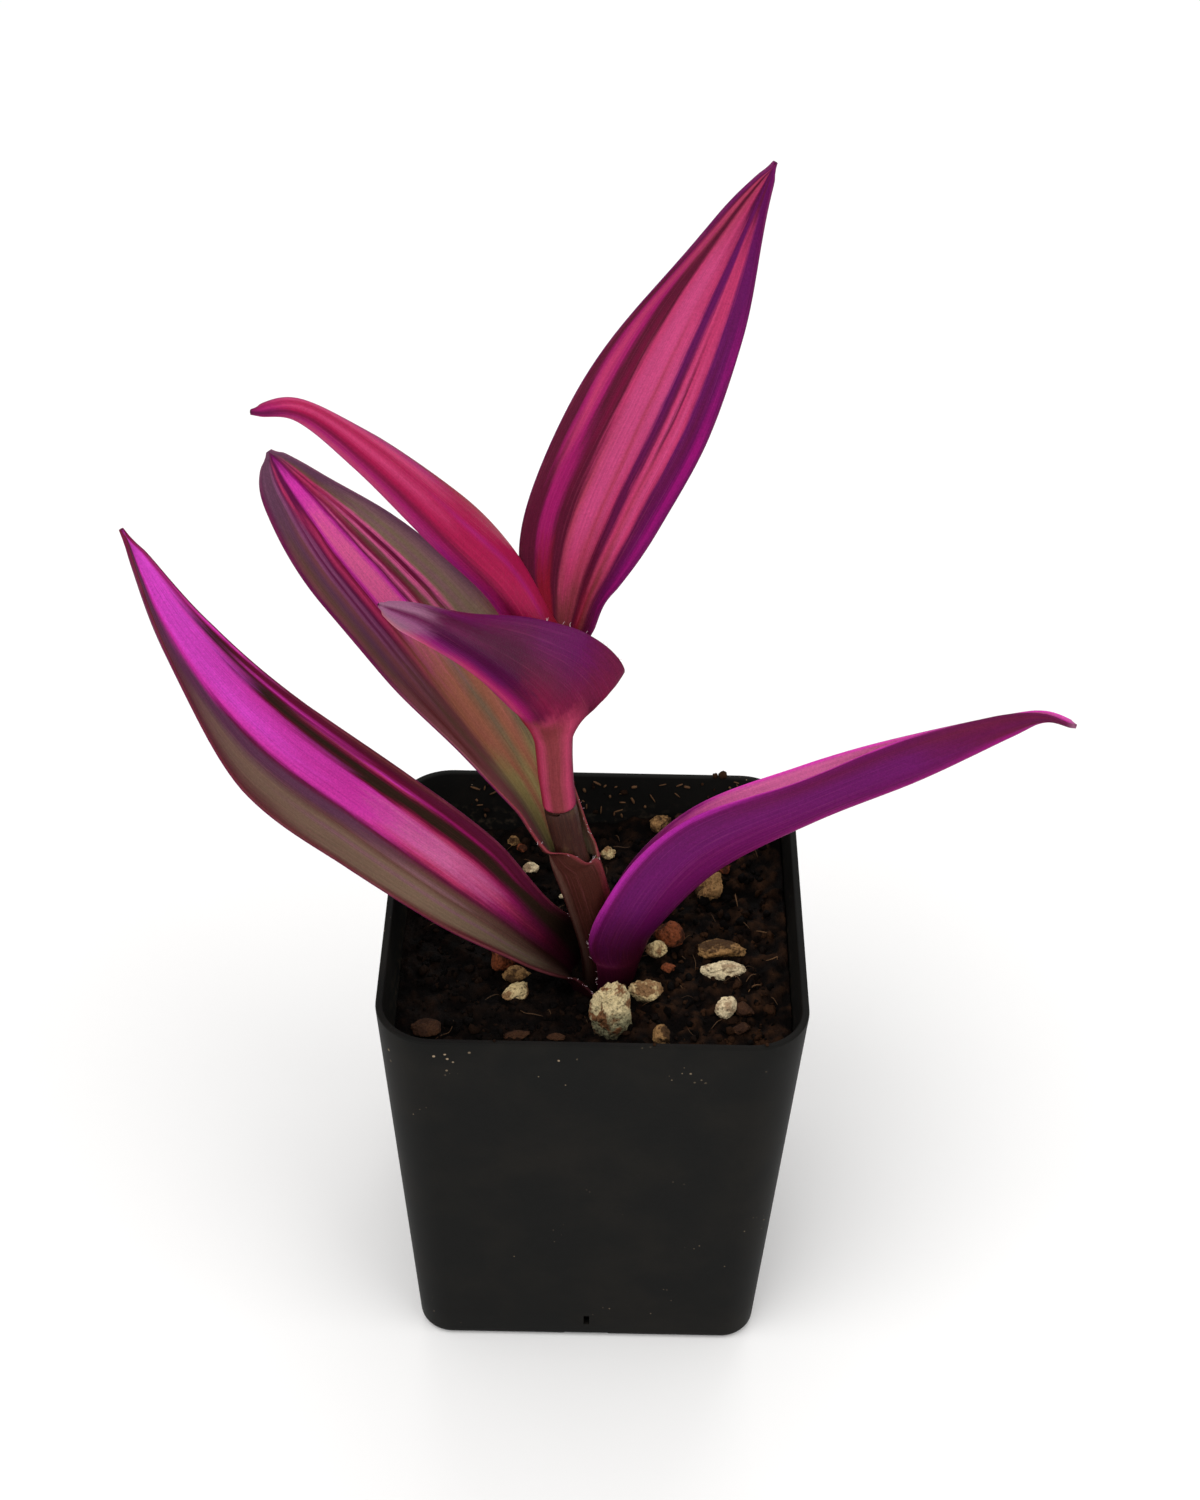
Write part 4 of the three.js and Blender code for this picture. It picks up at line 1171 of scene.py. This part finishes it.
COLUMNS = 24  # across each half of a blade
ROWS_PER_STATION = 14
FINE_STEPS = 4  # of the sum along a half's cross-section, for each column
THINNING = 0.42  # how much thinner a margin is than the keel
RIB_HEIGHT, RIB_WIDTH = 0.16, 0.05
RIDGE_HEIGHT, RIDGES = 0.03, 6.5  # of the veins on each half
MARGIN = 0.1  # how far the rounded margin stands out
FOLD_WIDTH = 0.1  # share of a half that turns at the keel
HAIR_LENGTH, HAIR_RADIUS = (0.35, 1.1), 0.028
HAIRY_FROM, HAIRY_TO, FRONT_HAIRY_TO = -0.2, 0.12, 0.4  # share of the blade that carries hairs


def sheath_row(row, face):
    """A sheath row in the form of a blade row."""
    z, radius, closing = row
    direction = unit(np.array((*face, 0.0)))
    keel = stem_at(z) - radius * direction
    half = radius * math.radians(closing)
    return (*keel, *direction, half, half, closing, closing, 0)


def half_section(half, curl, fold):
    """Cross-section of half a blade, from the keel out: sideways, up and slope at each column."""
    steps = COLUMNS * FINE_STEPS

    def slope(s):
        return math.radians(curl) * (fold * (1 - np.exp(-s / FOLD_WIDTH)) + (1 - fold) * s)

    angle = slope((np.arange(steps) + 0.5) / steps)
    sideways = np.cumsum(np.cos(angle)) * half / steps
    up = np.cumsum(np.sin(angle)) * half / steps
    picked = slice(FINE_STEPS - 1, None, FINE_STEPS)
    ends = slope(np.arange(1, COLUMNS + 1) / COLUMNS)
    return np.r_[0, sideways[picked]], np.r_[0, up[picked]], np.r_[0, ends]


def leaf_row(stations, u, closed, wave, thickness):
    """One row of a leaf from the left margin to the right: points of the lower and upper face, and outward."""
    last = len(stations) - 1
    values = smooth_row(stations, u)
    keel, face = values[:3], values[3:6]
    fold = 0 if closed else max(values[10], 0)
    along = unit(smooth_row(stations, min(u + 0.01, last))[:3] - smooth_row(stations, max(u - 0.01, 0))[:3])
    face = unit(face - along * (face @ along))
    side = np.cross(along, face)
    height, count = wave
    ripple = height * math.sin(2 * math.pi * count * u / last) * min(u / 2, (last - u) / 2, 1)
    s = np.arange(COLUMNS + 1) / COLUMNS
    thick = thickness / 2 * (1 - THINNING * s**4)
    rib = RIB_HEIGHT * np.exp(-((s / RIB_WIDTH) ** 2))
    ridges = RIDGE_HEIGHT * np.cos(s * 2 * math.pi * RIDGES) * (1 - s**3)
    blade = 0 if closed else min(max(u - 1, 0), (last - u) * 1.5, 1)
    taper = min(1, 0.35 + (last - u) / 0.35)
    halves = []
    for sign, half, curl in ((-1, values[6], values[8]), (1, values[7], values[9])):
        sideways, up, slope = half_section(max(half, 0.4) * taper, 180 if closed else min(curl, 176), fold)
        normal = face * np.cos(slope)[:, None] - sign * side * np.sin(slope)[:, None]
        middle = keel + sign * side * sideways[:, None] + face * up[:, None]
        if not closed:
            middle = middle + normal * (sign * ripple * s**3)[:, None]
        lower = middle - normal * (thick + (rib - ridges) * blade)[:, None]
        upper = middle + normal * (thick - (0.8 * rib - ridges) * blade)[:, None]
        outward = sign * side * np.cos(slope)[:, None] + face * np.sin(slope)[:, None]
        halves.append(np.stack([lower, upper, outward]))
    left, right = halves
    return np.concatenate([left[:, :0:-1], right], axis=1)


def leaf_rows(name, thickness):
    """Rows of a leaf from foot to tip: share of the blade, whether the sheath is closed there, and the points."""
    leaf = LEAVES[name]
    stations = np.array([*(sheath_row(row, leaf["face"]) for row in leaf["sheath"]), *leaf["blade"]], float)
    tubes = sum(row[0] <= leaf["closed_to"] for row in leaf["sheath"])
    last = len(stations) - 1
    for k in range(last * ROWS_PER_STATION + 1):
        u = k / ROWS_PER_STATION
        closed = u <= tubes - 1
        along = (u - len(leaf["sheath"])) / (last - len(leaf["sheath"]))
        yield along, closed, leaf_row(stations, u, closed, leaf["wave"], thickness)


def build_leaf(name, settings):
    """Two faces and rounded margins. A closed sheath's two margins are one seam."""
    width = 2 * COLUMNS + 1
    spread = np.r_[np.arange(-COLUMNS, 1), np.arange(1, COLUMNS + 1)] / COLUMNS / 2 + 0.5
    points, across, along, upper, cells = [], [], [], [], []

    def add(group, across_values, along_value, upper_value):
        start = len(points)
        points.extend(group)
        across.extend(across_values)
        along.extend([along_value] * len(group))
        upper.extend([upper_value] * len(group))
        return list(range(start, len(points)))

    for place, closed, (lower, top, outward) in leaf_rows(name, settings.thickness / MM):
        if closed:
            low, up = (add(face[:-1], spread[:-1], place, k) for k, face in enumerate((lower, top)))
            low.append(low[0])
            up.append(up[0])
            middle = None
        else:
            low, up = (add(face, spread, place, k) for k, face in enumerate((lower, top)))
            edge = [(lower[j] + top[j]) / 2 + MARGIN * outward[j] for j in (0, -1)]
            middle = add(edge, (0, 1), place, 0.5)
        cells.append((low, up, middle))
    faces = []
    for (low, up, middle), (next_low, next_up, next_middle) in zip(cells, cells[1:]):
        for j in range(width - 1):
            faces.append((up[j], up[j + 1], next_up[j + 1], next_up[j]))
            faces.append((low[j], next_low[j], next_low[j + 1], low[j + 1]))
        if next_middle is None:
            continue
        for j, k in ((0, 0), (-1, 1)):
            if middle is None:
                ring = (up[j], low[j], next_low[j], next_middle[k], next_up[j])
                faces.append(ring if k else ring[::-1])
            else:
                for ring in (
                    (up[j], middle[k], next_middle[k], next_up[j]),
                    (middle[k], low[j], next_low[j], next_middle[k]),
                ):
                    faces.append(ring if k else ring[::-1])
    for (low, up, middle), at_foot in ((cells[0], True), (cells[-1], False)):
        for j in range(width - 1):
            quad = (up[j], low[j], low[j + 1], up[j + 1])
            faces.append(quad if at_foot else quad[::-1])
        if middle:
            left, right = (up[0], middle[0], low[0]), (up[-1], low[-1], middle[1])
            faces += [left, right] if at_foot else [left[::-1], right[::-1]]
    values = {"across": across, "along": along, "upper": upper}
    piece = add_mesh(name + "_blade", np.array(points) * MM, faces, leaf_surface(name, settings), **values)
    seat(piece, "leaf", name)


def build_hairs(settings):
    """Short pale hairs on the mouths of the sheaths and the lower margins of the blades."""
    rng = np.random.default_rng(SEEDS["hairs"])
    heap = Heap()
    for name in LEAVES:
        end = FRONT_HAIRY_TO if name == "leaf_front" else HAIRY_TO
        rows = leaf_rows(name, settings.thickness / MM)
        rows = [row for row in rows if not row[1] and HAIRY_FROM < row[0] < end]
        for _ in range(settings.hairs):
            place, _, (lower, top, outward) = rows[int(len(rows) * rng.random() ** 1.4)]
            j = -1 if rng.random() < 0.5 else 0
            root = mix(lower[j], top[j], rng.uniform(0.2, 0.8))
            heading = unit(outward[j] + rng.normal(0, 0.35, 3))
            reach = skewed(rng, HAIR_LENGTH)
            droop = rng.normal(0, 0.2, 3)
            path = np.array([root + heading * reach * t + droop * reach * t * t for t in (0, 0.35, 0.7, 1)])
            heap.add(tube(path, HAIR_RADIUS, 4), tone=rng.random())
    seat(heap.build("leaf_hairs", hair_material()), "leaf")


# ---------------------------------------------------------------- stage

VIEW_TARGET = (0.37, 0, 99.23)
VIEW_DISTANCE = 378.77
VIEW_ELEVATION, VIEW_AZIMUTH, VIEW_ROLL = 37.87, -0.07, 1.16
VIEW_LENS = 62.2
LIGHT_AIM = (0, 0, 0.09)
SKY_STRENGTH = 0.56
FLOOR_REACH, FLOOR_STEPS, FLOOR_DROP = 4.0, 8, 0.00005


def build_camera():
    """Camera at the photograph's viewing angle."""
    elevation, azimuth, roll = (math.radians(a) for a in (VIEW_ELEVATION, VIEW_AZIMUTH, VIEW_ROLL))
    back = Vector(
        (math.sin(azimuth) * math.cos(elevation), -math.cos(azimuth) * math.cos(elevation), math.sin(elevation))
    )
    right = Vector((0, 0, 1)).cross(back).normalized()
    up = back.cross(right)
    right, up = right * math.cos(roll) + up * math.sin(roll), up * math.cos(roll) - right * math.sin(roll)
    camera = bpy.data.objects.new("camera", bpy.data.cameras.new("camera"))
    camera.data.lens = VIEW_LENS
    camera.data.clip_start, camera.data.clip_end = 0.01, 50
    turn = Matrix((right, up, back)).transposed()
    place = (Vector(VIEW_TARGET) + back * VIEW_DISTANCE) * MM
    camera.matrix_world = Matrix.Translation(place) @ turn.to_4x4()
    bpy.context.scene.collection.objects.link(camera)
    bpy.context.scene.camera = camera


def build_lights(stage):
    """Three large soft boxes round the plant, given by place, size and power."""
    boxes = [
        ("key_light", (-0.55, -0.6, 1.1), 1.2, 9.4),
        ("fill_light", (0.8, -0.5, 0.8), 1.1, 5),
        ("back_light", (0.1, 1.0, 0.9), 1.0, 3.8),
    ]
    for name, place, size, power in boxes:
        light = bpy.data.objects.new(name, bpy.data.lights.new(name, "AREA"))
        light.data.energy = power * stage.light
        light.data.size = size
        light.location = place
        light.rotation_euler = (Vector(place) - Vector(LIGHT_AIM)).to_track_quat("Z", "Y").to_euler()
        bpy.context.scene.collection.objects.link(light)
    world = bpy.data.worlds.new("studio")
    world.use_nodes = True
    world.node_tree.nodes["Background"].inputs["Color"].default_value = (1, 1, 1, 1)
    world.node_tree.nodes["Background"].inputs["Strength"].default_value = SKY_STRENGTH * stage.light
    bpy.context.scene.world = world
    bpy.context.scene.view_settings.view_transform = "Standard"


def build_floor(stage):
    """Flat floor just under the pot."""
    row = FLOOR_STEPS + 1
    line = np.linspace(-FLOOR_REACH, FLOOR_REACH, row)
    points = [(x, y, -FLOOR_DROP) for y in line for x in line]
    starts = [j * row + i for j in range(FLOOR_STEPS) for i in range(FLOOR_STEPS)]
    faces = [(start, start + 1, start + row + 1, start + row) for start in starts]
    floor = add_mesh("studio_floor", points, faces, floor_material(stage))
    floor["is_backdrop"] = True


# ---------------------------------------------------------------- operators and panel


class TRADESCANTIA_OT_stage(bpy.types.Operator):
    """Set up the pale floor, the soft lights and the camera"""

    bl_idname = "tradescantia.stage"
    bl_label = "Stage"

    def execute(self, context):
        build_floor(context.scene.tradescantia_stage)
        build_lights(context.scene.tradescantia_stage)
        build_camera()
        return {"FINISHED"}


class TRADESCANTIA_OT_pot(bpy.types.Operator):
    """Build the square black nursery pot"""

    bl_idname = "tradescantia.pot"
    bl_label = "Pot"

    def execute(self, context):
        build_pot(context.scene.tradescantia_pot)
        return {"FINISHED"}


class TRADESCANTIA_OT_soil(bpy.types.Operator):
    """Fill the pot with crumbly peat, loose crumbs and fibres"""

    bl_idname = "tradescantia.soil"
    bl_label = "Soil"

    def execute(self, context):
        scene = context.scene
        build_soil(scene.tradescantia_soil, scene.tradescantia_pot)
        build_crumbs(scene.tradescantia_soil, scene.tradescantia_pot)
        build_fibres(scene.tradescantia_soil, scene.tradescantia_pot)
        return {"FINISHED"}


class TRADESCANTIA_OT_stones(bpy.types.Operator):
    """Lay the pumice, perlite and bark grains on the soil"""

    bl_idname = "tradescantia.stones"
    bl_label = "Grains"

    def execute(self, context):
        build_stones(context.scene.tradescantia_stones, context.scene.tradescantia_soil)
        return {"FINISHED"}


class TRADESCANTIA_OT_stem(bpy.types.Operator):
    """Grow the bare stem"""

    bl_idname = "tradescantia.stem"
    bl_label = "Stem"

    def execute(self, context):
        build_stem(context.scene.tradescantia_stem)
        return {"FINISHED"}


class TRADESCANTIA_OT_leaves(bpy.types.Operator):
    """Grow the six leaves with their sheaths, and their hairs"""

    bl_idname = "tradescantia.leaves"
    bl_label = "Leaves"

    def execute(self, context):
        for name in LEAVES:
            build_leaf(name, context.scene.tradescantia_leaf)
        build_hairs(context.scene.tradescantia_leaf)
        return {"FINISHED"}


STEPS = (
    (TRADESCANTIA_OT_stage, "tradescantia_stage", StageSettings),
    (TRADESCANTIA_OT_pot, "tradescantia_pot", PotSettings),
    (TRADESCANTIA_OT_soil, "tradescantia_soil", SoilSettings),
    (TRADESCANTIA_OT_stones, "tradescantia_stones", StoneSettings),
    (TRADESCANTIA_OT_stem, "tradescantia_stem", StemSettings),
    (TRADESCANTIA_OT_leaves, "tradescantia_leaf", LeafSettings),
)


class TRADESCANTIA_PT_panel(bpy.types.Panel):
    """The steps that build the plant, each with its settings"""

    bl_idname = "TRADESCANTIA_PT_panel"
    bl_label = "Potted Tradescantia"
    bl_space_type = "VIEW_3D"
    bl_region_type = "UI"
    bl_category = "Plant"

    def draw(self, context):
        for operator, holder, settings in STEPS:
            box = self.layout.box()
            box.operator(operator.bl_idname)
            for name in settings.__annotations__:
                box.prop(getattr(context.scene, holder), name)


def register():
    for operator, holder, settings in STEPS:
        bpy.utils.register_class(settings)
        bpy.utils.register_class(operator)
        setattr(bpy.types.Scene, holder, PointerProperty(type=settings))
    bpy.utils.register_class(TRADESCANTIA_PT_panel)


def unregister():
    bpy.utils.unregister_class(TRADESCANTIA_PT_panel)
    for operator, holder, settings in reversed(STEPS):
        delattr(bpy.types.Scene, holder)
        bpy.utils.unregister_class(operator)
        bpy.utils.unregister_class(settings)


def main():
    """Build every step in order and work out the two boxes."""
    register()
    for operator, _, _ in STEPS:
        group, name = operator.bl_idname.split(".")
        getattr(getattr(bpy.ops, group), name)()
    boxes = {"cad": CAD_BOX, "visual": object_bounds()}
    {name: [list(corner) for corner in box] for name, box in boxes.items()}


if __name__ == "__main__":
    main()
